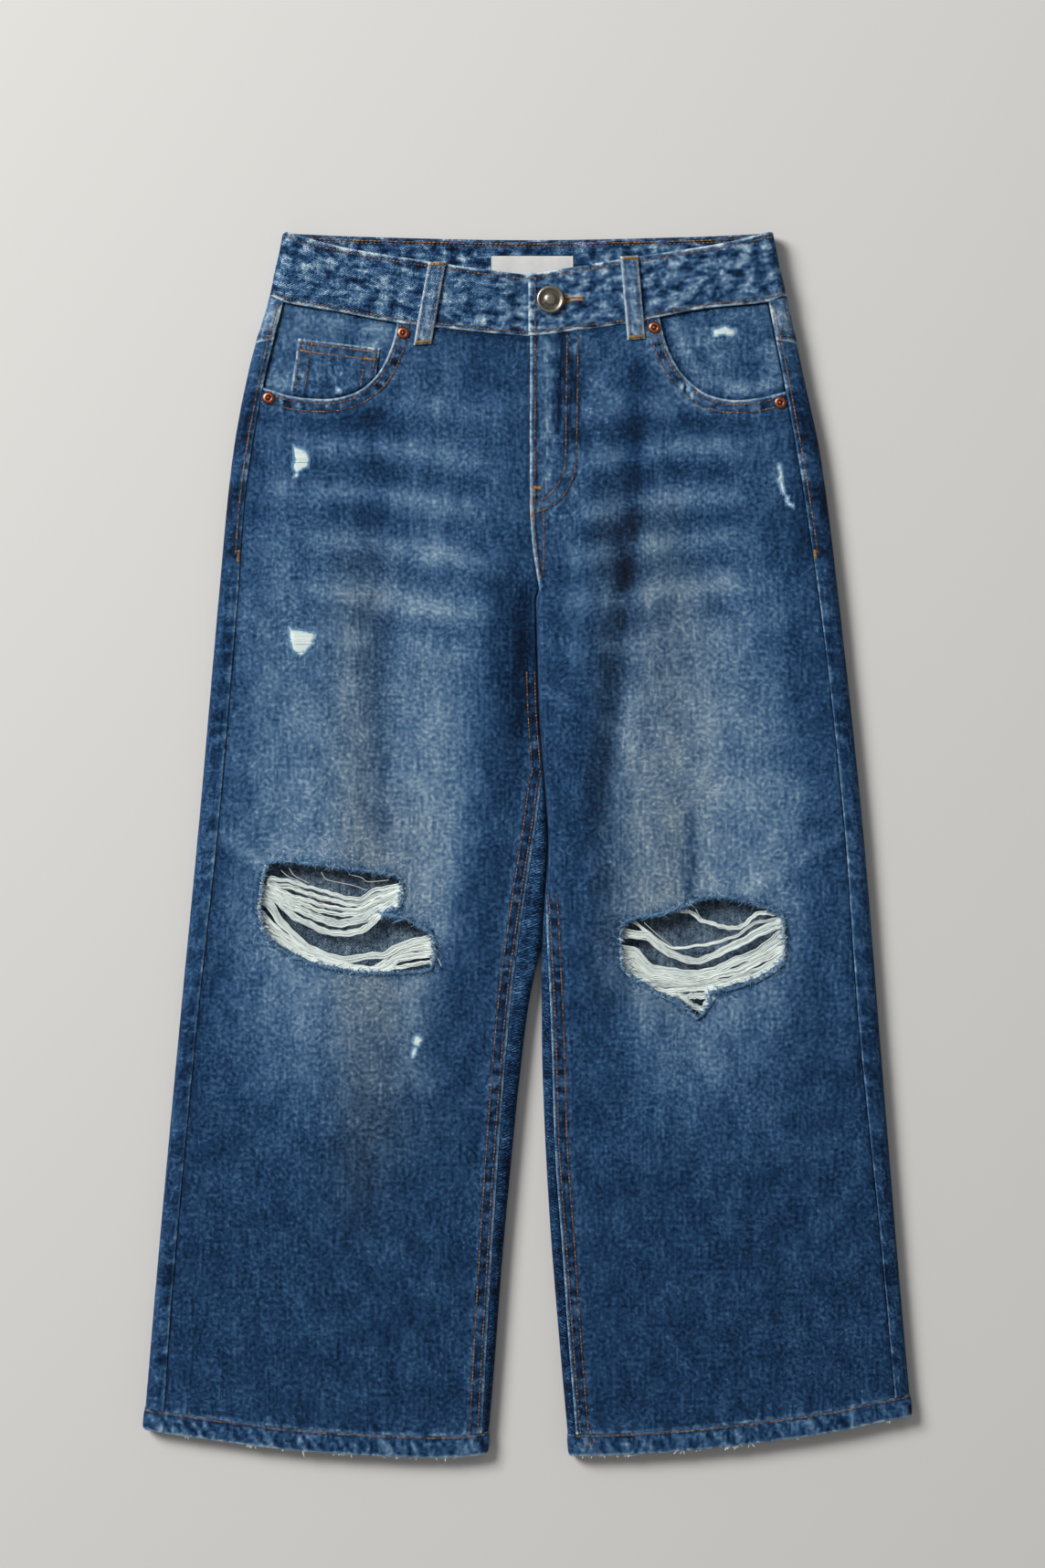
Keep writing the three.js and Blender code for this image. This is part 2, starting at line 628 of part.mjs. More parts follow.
function backLoop(x) {
  const [low, high] = [bandBottomBack(x) - 10, bandTopBack(x) + 1.5];
  const half = LOOP_WIDTH / 2;
  return prism([[x - half, low], [x + half, low], [x + half, high], [x - half, high]], 0, LOOP_THICK);
}

/** Folded hem: a flattened ring that stands a little proud of the leg. */
function hem(leg) {
  const sideSteps = 6;
  const flatSteps = 9;
  const path = (y) => {
    const outer = leg.outer(y) + leg.sign * HEM_PROUD;
    const inner = leg.inner(y) - leg.sign * HEM_PROUD;
    const high = (x) => topHeight(leg, x, y) + HEM_PROUD;
    const points = [];
    const [rootIn, rootOut] = [inner + leg.sign * SIDE_REACH, outer - leg.sign * SIDE_REACH];
    for (const x of spread(rootIn, rootOut, flatSteps)) points.push([x, high(x)]);
    for (let i = 1; i <= sideSteps; i += 1) {
      const turn = Math.PI * (0.5 - i / sideSteps);
      const x = rootOut + leg.sign * SIDE_REACH * Math.cos(turn);
      points.push([x, high(rootOut) * (0.5 + 0.5 * Math.sin(turn))]);
    }
    for (const x of spread(rootOut, rootIn, flatSteps).slice(1)) points.push([x, 0]);
    for (let i = 1; i < sideSteps; i += 1) {
      const turn = Math.PI * (-0.5 + i / sideSteps);
      const x = rootIn - leg.sign * SIDE_REACH * Math.cos(turn);
      points.push([x, high(rootIn) * (0.5 + 0.5 * Math.sin(turn))]);
    }
    return points;
  };
  const insetRing = (points) => {
    const [before, after] = [points.at(-1), points[0]];
    return inset({ points, before, after }, leg.sign, HEM);
  };
  const outer = [];
  const inner = [];
  for (const t of [0, 0.5, 1]) {
    const heightAt = (x) => leg.hem(x) + t * (HEM_DEPTH - GAP);
    const faces = path(-370).map(([x], i) => {
      const y = heightAt(path(heightAt(x))[i][0]);
      const points = path(y);
      return { y, face: points[i], back: insetRing(points)[i] };
    });
    outer.push(faces.map(({ y, face }) => [face[0], y, face[1]]));
    inner.push(faces.map(({ y, back }) => [back[0], y, back[1]]));
  }
  return wall(outer, inner, true);
}

// ---- Fly, label, metal --------------------------------------------------------------------

function flyLayer(fromX, toX, lowY, drop, depth) {
  const height = (x, y) => topHeight(x < 1.4 ? RIGHT : LEFT, x, y) - CLOTH - drop;
  const crest = (x) => bandBottomFront(x) - 1.5;
  const lowest = spread(fromX, toX, 4);
  const steady = (x, y) => Math.min(height(x, y), height(1, y), height(2, y)) - 0.2;
  return layer(lowest, 5, () => lowY, crest, steady, depth);
}

function turned(profile, steps, at, z) {
  const points = profile.map(([radius, height]) => new THREE.Vector2(radius, height));
  const geometry = new THREE.LatheGeometry(points, steps);
  geometry.rotateX(Math.PI / 2);
  geometry.translate(at[0], at[1], z);
  geometry.deleteAttribute('normal');
  geometry.deleteAttribute('uv');
  return mergeVertices(geometry, 1e-4);
}

function button() {
  const { radius, height } = BUTTON;
  const profile = [
    [0, 0], [radius - 1.5, 0], [radius, 1.2], [radius, height - 0.8], [radius - 0.8, height],
    [radius - 1.9, height], [radius - 2.5, height - 0.7], [3.2, height - 0.5], [2.6, height + 0.1],
    [0, height + 0.1],
  ];
  return turned(profile, 28, BUTTON.at, BAND_TOP + GAP);
}

function rivet([x, y]) {
  const profile = [
    [0, 0], [RIVET_RADIUS, 0], [RIVET_RADIUS, 0.5], [RIVET_RADIUS - 0.9, RIVET_HEIGHT],
    [1.7, RIVET_HEIGHT - 0.2], [1.2, RIVET_HEIGHT - 0.6], [0, RIVET_HEIGHT - 0.6],
  ];
  return turned(profile, 16, [x, y], topHeight(x < 0 ? RIGHT : LEFT, x, y) + GAP + 0.25);
}

// ---- Assembly -----------------------------------------------------------------------------

const jeans = new THREE.Group();
jeans.name = 'jeans';

function add(name, geometry, look) {
  geometry.computeVertexNormals();
  const mesh = new THREE.Mesh(geometry, new THREE.MeshStandardMaterial(look));
  mesh.name = name;
  jeans.add(mesh);
}

add('front_right', front(RIGHT, POCKET_RIGHT, RIP_RIGHT), DENIM);
add('front_left', front(LEFT, POCKET_LEFT, RIP_LEFT), DENIM);
add('back_right', back(RIGHT), DENIM_DARK);
add('back_left', back(LEFT), DENIM_DARK);
add('yoke_right', yoke(RIGHT), DENIM_DARK);
add('yoke_left', yoke(LEFT), DENIM_DARK);
add('hem_right', hem(RIGHT), DENIM);
add('hem_left', hem(LEFT), DENIM);
add('waistband', waistband(), DENIM);
add('pocket_facing_right', facing(RIGHT, POCKET_RIGHT, -64), DENIM);
add('pocket_facing_left', facing(LEFT, POCKET_LEFT, 66), DENIM);
add('coin_pocket', coinPocket(), DENIM);
PATCH_CENTRE.forEach(([x, y], i) => {
  const outline = PATCH.map(([dx, dy]) => [x + dx, y + dy]);
  add(i === 0 ? 'back_pocket_right' : 'back_pocket_left', prism(outline, 0, 1.2), DENIM_DARK);
});
add('belt_loop_front_right', frontLoop(RIGHT, [-55.9, 361.5], [-65.2, 310.4]), DENIM_PALE);
add('belt_loop_front_left', frontLoop(LEFT, [63, 365], [67.5, 313.6]), DENIM_PALE);
for (const [name, x] of Object.entries(BACK_LOOPS)) add(name, backLoop(x), DENIM_PALE);
add('zip', flyLayer(-11, 14, 212, GAP, 0.7), TAPE);
add('fly_shield', flyLayer(-2, 32, 207, 2 * GAP + 0.7, CLOTH), DENIM_DARK);
const tagHeight = () => BAND_REST + BAND + GAP + 0.4;
add('label', layer([-22.5, 28.5], 1, () => 346, () => 366.6, tagHeight, 0.4), TAG);
add('rip_threads_right', ripThreads(RIGHT, THREADS_RIGHT, spread(-166, -58, 6), -82, -10), THREADS);
add('rip_threads_left', ripThreads(LEFT, THREADS_LEFT, spread(57, 161, 6), -109, -32), THREADS);
add('button', button(), STEEL);
RIVETS.forEach((at, i) => add(`rivet_${i + 1}`, rivet(at), COPPER));

export default jeans;
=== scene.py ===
"""Ripped wide-leg jeans for a child, laid flat on their back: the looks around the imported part.

Lengths are millimetres in the part's own frame: X across, Y from the hems to the waist, Z up from
the surface that the jeans lie on. They become metres where a mesh is made. Right and left are the
wearer's, so the right leg lies at negative X.
"""
import logging
import math
from dataclasses import dataclass
from enum import Enum
from typing import ClassVar, Callable, Optional, Sequence

import bmesh
import bpy
import numpy as np
from bpy.types import Material, Mesh, Node, NodeSocket, Object
from mathutils import Matrix, Vector
from mathutils.bvhtree import BVHTree


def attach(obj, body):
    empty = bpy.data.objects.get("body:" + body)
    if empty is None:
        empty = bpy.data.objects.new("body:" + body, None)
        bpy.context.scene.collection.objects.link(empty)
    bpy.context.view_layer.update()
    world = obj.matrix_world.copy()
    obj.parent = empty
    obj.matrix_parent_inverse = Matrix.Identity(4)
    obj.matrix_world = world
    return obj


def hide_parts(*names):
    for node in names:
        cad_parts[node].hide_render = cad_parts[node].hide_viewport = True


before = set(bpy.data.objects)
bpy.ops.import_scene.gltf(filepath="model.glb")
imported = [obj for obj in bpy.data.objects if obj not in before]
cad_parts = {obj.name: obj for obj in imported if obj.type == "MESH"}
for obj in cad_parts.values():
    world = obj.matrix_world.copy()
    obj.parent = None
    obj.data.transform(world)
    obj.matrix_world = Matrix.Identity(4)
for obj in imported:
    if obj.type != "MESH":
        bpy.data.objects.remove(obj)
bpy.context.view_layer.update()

LOG = logging.getLogger("jeans")
Array = np.ndarray
Stops = Sequence[tuple[float, tuple[int, ...]]]  # positions with display colours
MM = 0.001
TURN = 2 * math.pi

CLOTH = 1.15  # one ply of denim
GAP = 0.3  # clear space between pieces at a seam
STITCH_ROWS = (2.8, 7.8)  # the two rows beside a lapped edge
LEAST_HEIGHT = 0.02  # backs and yokes stay this far above the surface
STRAIGHT = 250.0  # above this height the grid rows bend towards the top edges
BAND = 2.2  # folded waistband
BAND_REST = 2.0  # outer face of the band behind, and in front
BAND_TOP = 14.2
BAND_SIDE = 6.0  # how far in the band's rounded sides reach
UNDERLAP_TOP = 11.6  # hidden end of the band: its height and where it ends
UNDERLAP_END = 34.0
HEM = 2.2  # folded hem
HEM_DEPTH = 13.5
HEM_PROUD = 0.5  # how far it stands out from the leg
SIDE_REACH = 5.4  # how far in a leg's rounded side reaches, and on the covered inner side
VALLEY_REACH = 2.2
LEG_GAP = 0.4
DOME = 1.1  # rise of a leg's middle over its sides
SEAT_REST = 1.5  # height of the outer face under the seat
CROTCH_HIGH = 160.0  # the legs join between these two heights
CROTCH_LOW = 152.0
FACING_DROP = CLOTH + GAP + 0.1  # from a front's face down to the pocket facing's
LOOP_WIDTH = 11.0
LOOP_THICK = 1.7
TAPE = 0.7  # the zip's tape
BUTTONHOLE_EYE = (22.6, 338.4)
BUTTON_AT = (14.2, 338.0)
RIVETS = ((-77.0, 317.5), (-160.6, 277.3), (78.8, 320.8), (157.0, 274.4))


# ---- Numbers and lines ---------------------------------------------------------------------------


class Curve:
    """Smooth curve through (at, value) pairs, straight past both ends."""

    def __init__(self, *pairs: tuple[float, float]) -> None:
        """Keeps the pairs and the slope at each.

        Args:
            pairs: positions that rise, each with its value.
        """
        self.at, self.value = np.array(pairs, float).T
        near = np.arange(len(pairs))
        low, high = np.maximum(near - 1, 0), np.minimum(near + 1, len(pairs) - 1)
        self.slope = (self.value[high] - self.value[low]) / (self.at[high] - self.at[low])

    def __call__(self, at: Array) -> Array:
        """Values at the given positions.

        Args:
            at: one position or many.

        Returns:
            The curve's value at each.
        """
        at = np.asarray(at, float)
        i = np.clip(np.searchsorted(self.at, at) - 1, 0, len(self.at) - 2)
        span = self.at[i + 1] - self.at[i]
        t = np.clip((at - self.at[i]) / span, 0, 1)
        rise = self.value[i + 1] - self.value[i]
        smooth = self.value[i] + rise * t * t * (3 - 2 * t)
        smooth += self.slope[i] * t * (1 - t) ** 2 * span
        smooth += self.slope[i + 1] * t * t * (t - 1) * span
        smooth += self.slope[0] * np.minimum(at - self.at[0], 0)
        return smooth + self.slope[-1] * np.maximum(at - self.at[-1], 0)


def mix(a: Array, b: Array, t: Array) -> Array:
    """Value a share t of the way from a to b."""
    return a + (b - a) * t


def ease(start: float, end: float, at: Array) -> Array:
    """0 up to start and 1 past end, or the reverse, eased between."""
    t = np.clip((at - start) / (end - start), 0, 1)
    return t * t * (3 - 2 * t)


def hill(centre: float, width: float, at: Array) -> Array:
    """Rounded hill of height 1 at centre."""
    return np.exp(-(((at - centre) / width) ** 2))


def plateau(low: float, high: float, soft: float, at: Array) -> Array:
    """1 between low and high, falling to 0 over soft on both sides."""
    return ease(low - soft, low, at) * ease(high + soft, high, at)


class Ripple:
    """Smooth seeded unevenness over a plane, about -1 to 1."""

    def __init__(self, seed: int, longest: float, shortest: float, slant: float = 1.0) -> None:
        """Draws the waves.

        Args:
            seed: which draw.
            longest: longest wave.
            shortest: shortest wave.
            slant: above 1 stretches the waves along Y.
        """
        draw = np.random.default_rng(seed)
        length = np.geomspace(longest, shortest, 9)
        turn = draw.uniform(0, TURN, 9)
        self.kx = TURN / length * np.cos(turn)
        self.ky = TURN / length * np.sin(turn) / slant
        self.phase = draw.uniform(0, TURN, 9)

    def __call__(self, x: Array, y: Array) -> Array:
        """Value at each point."""
        total = np.zeros(np.broadcast(x, y).shape)
        for kx, ky, phase in zip(self.kx, self.ky, self.phase):
            total += np.sin(kx * x + ky * y + phase)
        return total / 3


def smooth_line(corners: Sequence[tuple[float, ...]], spacing: float = 1.0) -> Array:
    """Rounded line through corners, with points evenly apart.

    Args:
        corners: points of the line, in order.
        spacing: distance between the points returned.

    Returns:
        The points, one a row.
    """
    nodes = np.array(corners, float)
    nodes = np.vstack([nodes[:1], nodes, nodes[-1:]])
    t = np.linspace(0, 1, 12, endpoint=False)[:, None]
    parts = []
    for a, b, c, d in zip(nodes, nodes[1:], nodes[2:], nodes[3:]):
        v0, v1 = (c - a) / 2, (d - b) / 2
        cubic = (2 * (b - c) + v0 + v1) * t**3 + (3 * (c - b) - 2 * v0 - v1) * t**2
        parts.append(cubic + v0 * t + b)
    return spaced(np.vstack([*parts, nodes[-1:]]), spacing)


def spaced(line: Array, spacing: float) -> Array:
    """The same open line with points evenly apart, its ends kept."""
    along = np.concatenate([[0], np.cumsum(np.linalg.norm(np.diff(line, axis=0), axis=1))])
    count = max(int(round(along[-1] / spacing)), 1)
    at = np.linspace(0, along[-1], count + 1)
    return np.stack([np.interp(at, along, line[:, k]) for k in range(line.shape[1])], axis=1)


def divided(line: Array, count: int) -> Array:
    """The same open line as a number of points evenly apart."""
    length = float(np.linalg.norm(np.diff(line, axis=0), axis=1).sum())
    return spaced(line, length / (count - 1))[:count]


def sideways(line: Array) -> Array:
    """The way to the left of an open plane line at each of its points."""
    step = np.gradient(line, axis=0)
    step /= np.linalg.norm(step, axis=1)[:, None]
    return np.stack([-step[:, 1], step[:, 0]], axis=1)


def straight_up(count: int) -> Array:
    """The upward way, once for each of count threads."""
    return np.tile([0.0, 0.0, 1.0], (count, 1))


def nearest(line: Array, x: Array, y: Array) -> tuple[Array, Array, Array]:
    """Nearest place on a plane line to each point.

    Args:
        line: points of the line.
        x: across.
        y: along.

    Returns:
        Distance, positive to the line's left; length along the line; the nearest points.
    """
    best = np.full(x.shape, 1e9)
    along = np.zeros(x.shape)
    spot = np.zeros(x.shape + (2,))
    start = 0.0
    for a, b in zip(line, line[1:]):
        step = b - a
        length = float(np.hypot(*step))
        t = np.clip(((x - a[0]) * step[0] + (y - a[1]) * step[1]) / length**2, 0, 1)
        px, py = a[0] + t * step[0], a[1] + t * step[1]
        away = np.hypot(x - px, y - py)
        left = step[0] * (y - a[1]) - step[1] * (x - a[0])
        closer = away < np.abs(best)
        best = np.where(closer, np.where(left < 0, -away, away), best)
        along = np.where(closer, start + t * length, along)
        spot[closer] = np.stack([px, py], axis=-1)[closer]
        start += length
    return best, along, spot


def within(outline: Array, x: Array, y: Array) -> Array:
    """True for the points inside a closed plane outline."""
    odd = np.zeros(x.shape, bool)
    for (ax, ay), (bx, by) in zip(outline, np.roll(outline, -1, axis=0)):
        if ay == by:
            continue
        crosses = (ay > y) != (by > y)
        odd ^= crosses & (x < ax + (y - ay) * (bx - ax) / (by - ay))
    return odd


# ---- The garment's own lines and surfaces --------------------------------------------------------

BAND_TOP_FRONT = Curve(
    (-152, 381), (-115, 371), (-63, 362.3), (-27, 357.2), (0, 354.6),
    (24, 357.8), (55, 362.9), (120, 373.2), (152.5, 381),
)
BAND_BOTTOM_FRONT = Curve(
    (-160.5, 341), (-150, 336.5), (-115, 330.3), (-82, 324), (-56, 321),
    (0, 316), (31, 319.3), (61, 323.2), (107, 332.3), (150, 337), (161, 341),
)
BAND_TOP_BACK = Curve((-152, 381), (-100, 378.8), (0, 376.8), (103, 378.8), (152.5, 381))
CENTRE_FRONT = Curve((152, 8), (159, 7.1), (184, 3.1), (207, 1.4), (316, 1.4))
CENTRE_BACK = Curve((152, 8), (200, 4), (338, 3))
BODY_TOP = Curve((-380, 9.8), (-200, 10.2), (0, 10.6), (150, 11), (250, 11.3), (335, 12.7))
LEFT_INNER = Curve(
    (-381, 26.4), (-326, 21.3), (-235, 13.9), (-145, 9.4), (-99, 8.8), (-65, 8.8),
    (-27, 11.1), (1, 12.8), (42, 10.5), (78, 7.7), (110, 6.5), (155, 5.4),
)
RIGHT_INNER = Curve(
    (-381, -25.4), (-326, -20.7), (-258, -15.6), (-190, -9.4), (-145, -4.8), (-99, 0.9),
    (-67, 8.2), (-30, 20),
)


def band_bottom_back(x: Array) -> Array:
    """Lower edge of the waistband behind."""
    return BAND_TOP_BACK(x) - 39.5


@dataclass(frozen=True)
class Trough:
    """Lengthwise soft trough in the fronts."""

    line: Curve
    width: float
    depth: float
    low: float
    high: float


TROUGHS = (
    Trough(Curve((14, 47), (82, 57), (150, 60), (280, 64)), 8, 2, -20, 290),
    Trough(Curve((-116, 111), (14, 103.5)), 9, 1.1, -135, 40),
    Trough(Curve((8, -89), (150, -88)), 9, 1.2, -20, 180),
    Trough(Curve((-123, -80), (-84, -80)), 8, 0.9, -150, -60),
)


def rest_height(y: Array) -> Array:
    """Height of the outer face underneath."""
    seat = SEAT_REST * ease(116, 143, y)
    band = (BAND_REST - SEAT_REST) * ease(290, 318, y)
    return seat + band + HEM_PROUD * ease(-325, -355, y)


@dataclass(frozen=True)
class Leg:
    """One leg's outlines, seams and surfaces. sign is 1 for the left leg and -1 for the right."""

    name: str
    sign: int
    outer: Curve
    outseam: Curve
    inseam: Curve
    hem: Curve

    def inner(self, y: Array) -> Array:
        """X of the leg's inner outline."""
        if self.sign > 0:
            return LEFT_INNER(y)
        return np.minimum(RIGHT_INNER(y), LEFT_INNER(y) - LEG_GAP)

    def reach(self, y: Array) -> Array:
        """Reach of the rounded inner side."""
        if self.sign > 0:
            return np.full(np.shape(y), SIDE_REACH)
        return mix(SIDE_REACH, VALLEY_REACH, ease(5, 55, np.asarray(y, float)))

    def top(self, x: Array, y: Array) -> Array:
        """Height of the outer face on top, at each point."""
        outer = self.outer(y)
        reach = outer - self.inner(np.minimum(y, CROTCH_LOW))
        across = np.clip((outer - x) / reach, 0, 1)
        closed = 1 - ease(CROTCH_LOW, CROTCH_HIGH + 30, y)
        z = BODY_TOP(y) + DOME * np.sin(math.pi * across) * mix(0.6, 1, closed)
        for dip in TROUGHS:
            ends = ease(dip.low, dip.low + 40, y) * ease(dip.high, dip.high - 40, y)
            z = z - dip.depth * hill(0, dip.width, x - dip.line(y)) * ends
        if self.sign < 0:
            return z - 6.2 * ease(-26, 3, x) * ease(4, 60, y) * ease(176, 150, y)
        return z + 0.9 * ease(18, 2, x) * ease(165, 185, y)

    def side(self, y: Array, inner: bool, turn: Array) -> tuple[Array, Array]:
        """Points round a rounded side.

        Args:
            y: height along the leg.
            inner: the inner side and not the outer one.
            turn: radians, 0 level and rising to the top.

        Returns:
            X and Z.
        """
        edge = self.inner(y) if inner else self.outer(y)
        reach = self.reach(y) if inner else SIDE_REACH
        way = self.sign if inner else -self.sign
        root = edge + way * reach
        low, high = rest_height(y), self.top(root, y)
        return root - way * reach * np.cos(turn), mix(low, high, 0.5 + 0.5 * np.sin(turn))

    def over(self, y: Array, length: Array) -> tuple[Array, Array]:
        """Points on the closed leg from the level point of its inner side, over the top.

        Args:
            y: height along the leg.
            length: how far along the outer face.

        Returns:
            X and Z.
        """
        reach = self.reach(y)
        quarter = reach * math.pi / 2
        round_x, round_z = self.side(y, True, np.minimum(length / reach, math.pi / 2))
        flat_x = self.inner(y) + self.sign * (reach + length - quarter)
        flat = length >= quarter
        return np.where(flat, flat_x, round_x), np.where(flat, self.top(flat_x, y), round_z)

    def inseam_length(self, y: Array) -> Array:
        """Length from the level point of the inner side to the inseam."""
        reach = self.reach(y)
        inset = np.maximum(self.sign * (self.inseam(y) - self.inner(y)), 0)
        curved = reach * np.arccos(np.clip(1 - inset / reach, -1, 1))
        return np.where(inset < reach, curved, reach * (math.pi / 2 - 1) + inset)

    def front(self, t: Array, y: Array) -> tuple[Array, Array, Array]:
        """Cross-section of a front.

        Args:
            t: 0 at the inner edge and 1 at the outseam.
            y: height along the leg.

        Returns:
            X, Z and the length along the cloth, measured from the outseam.
        """
        opened = ease(CROTCH_LOW, CROTCH_HIGH, y)
        outseam = self.outseam(y) - self.sign * GAP / 2
        flat_x = mix(CENTRE_FRONT(y) + self.sign * GAP / 2, outseam, t)
        near = np.minimum(y, CROTCH_HIGH)
        start = self.inseam_length(near) + GAP / 2
        quarter = self.reach(near) * (math.pi / 2 - 1)
        end = self.sign * (outseam - self.inner(near)) + quarter
        round_x, round_z = self.over(near, mix(start, end, t))
        x, z = mix(round_x, flat_x, opened), mix(round_z, self.top(flat_x, y), opened)
        return x, z, (1 - t) * mix(end - start, np.abs(outseam - CENTRE_FRONT(y)), opened)

    def hem_row(self, v: Array, x: Array) -> Array:
        """Y of nominal row v at x: straight above -300, following the hem below."""
        share = (v + 300) / -62
        return np.where(v < -300, mix(-300, self.hem(x) + HEM_DEPTH + 0.2, share), v)


LEFT = Leg(
    "left", 1,
    Curve((-356, 239), (-258, 230.5), (-122, 219.5), (14, 208.5), (150, 194), (241, 182.5),
          (286, 173), (342, 161), (381, 152.5)),
    Curve((-357, 229.5), (-242, 219), (-109, 205.5), (14, 196.5), (138, 183), (228, 170),
          (286, 159.5), (334, 150)),
    Curve((-364, 29.8), (-312, 25.6), (-250, 21.3), (-190, 16.9), (-130, 15), (-99, 13.9),
          (-65, 12.2), (-27, 11.1), (40, 9)),
    Curve((26.4, -380.6), (74, -378.8), (109, -375.9), (149, -371.4), (195, -364.6), (216, -360),
          (239, -355.5)),
)
RIGHT = Leg(
    "right", -1,
    Curve((-364, -239), (-258, -230), (-122, -217.5), (14, -204.5), (150, -192.5), (241, -183.5),
          (297, -173), (341, -160.5), (381, -152)),
    Curve((-366, -226.5), (-272, -220), (-116, -205.5), (14, -191.6), (150, -180), (222, -174.5),
          (286, -163.7), (336, -151.5)),
    Curve((-366, -28), (-282, -23.5), (-173, -16.4), (-92, -9.5), (-41, -2.6), (11, 5.4), (44, 9.8),
          (80, 16)),
    Curve((-239, -364), (-221, -366.8), (-157, -375.4), (-124, -378.2), (-74, -381), (-41, -381),
          (-25, -379)),
)
LEGS = (RIGHT, LEFT)

# Edges of the two front pocket mouths, from the waistband to the outseam
MOUTHS = {
    "right": smooth_line([
        (-81, 336), (-81.4, 322), (-84.8, 308.4), (-91.6, 294.3), (-100.6, 284.6), (-111.4, 279),
        (-126, 276.7), (-146, 278.4), (-163, 283.5), (-180, 290),
    ]),
    "left": smooth_line([
        (82, 338), (82.5, 324.3), (87, 308.4), (93.3, 296), (101.8, 286.3), (112, 279.5),
        (126.2, 276.1), (143.2, 277.3), (161.3, 281.8), (180, 288),
    ]),
}

RIPS = {
    "right": np.array([
        (-162, -13), (-154.5, -10), (-116, -14.2), (-87, -18), (-78.5, -22), (-79.5, -38.5),
        (-91, -43.5), (-78.5, -45), (-67, -50.5), (-59, -57), (-58.7, -74.5), (-66, -79),
        (-99.5, -80), (-124.5, -76.2), (-145.3, -69.5), (-161, -58), (-166, -43.5), (-166, -33.5),
        (-164.5, -22),
    ]),
    "left": np.array([
        (58, -50), (67.5, -45.3), (82.6, -43.3), (96, -39), (109, -33), (122.4, -32.5),
        (138.3, -35.8), (157.3, -43), (159, -55.6), (159.7, -71), (150.2, -80.3), (134.3, -87.5),
        (114.4, -92.2), (114, -98), (106.4, -107.7), (101.7, -104.2), (94.5, -98), (78.6, -91.5),
        (61, -78.7), (58.5, -67.6),
    ]),
}


# ---- Finishes ------------------------------------------------------------------------------------


class Slot(Enum):
    """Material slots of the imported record."""

    DENIM = "denim"
    ZIP = "zip_tape"
    LABEL = "label"
    WEFT = "weft_threads"
    STEEL = "button_metal"
    COPPER = "rivet_copper"


def linear(colour: Sequence[float]) -> tuple[float, ...]:
    """Display colour from 0 to 255 as the linear colour that a shader takes."""
    shares = [c / 255 for c in colour]
    curved = [c / 12.92 if c < 0.04045 else ((c + 0.055) / 1.055) ** 2.4 for c in shares]
    return (*curved, 1.0)


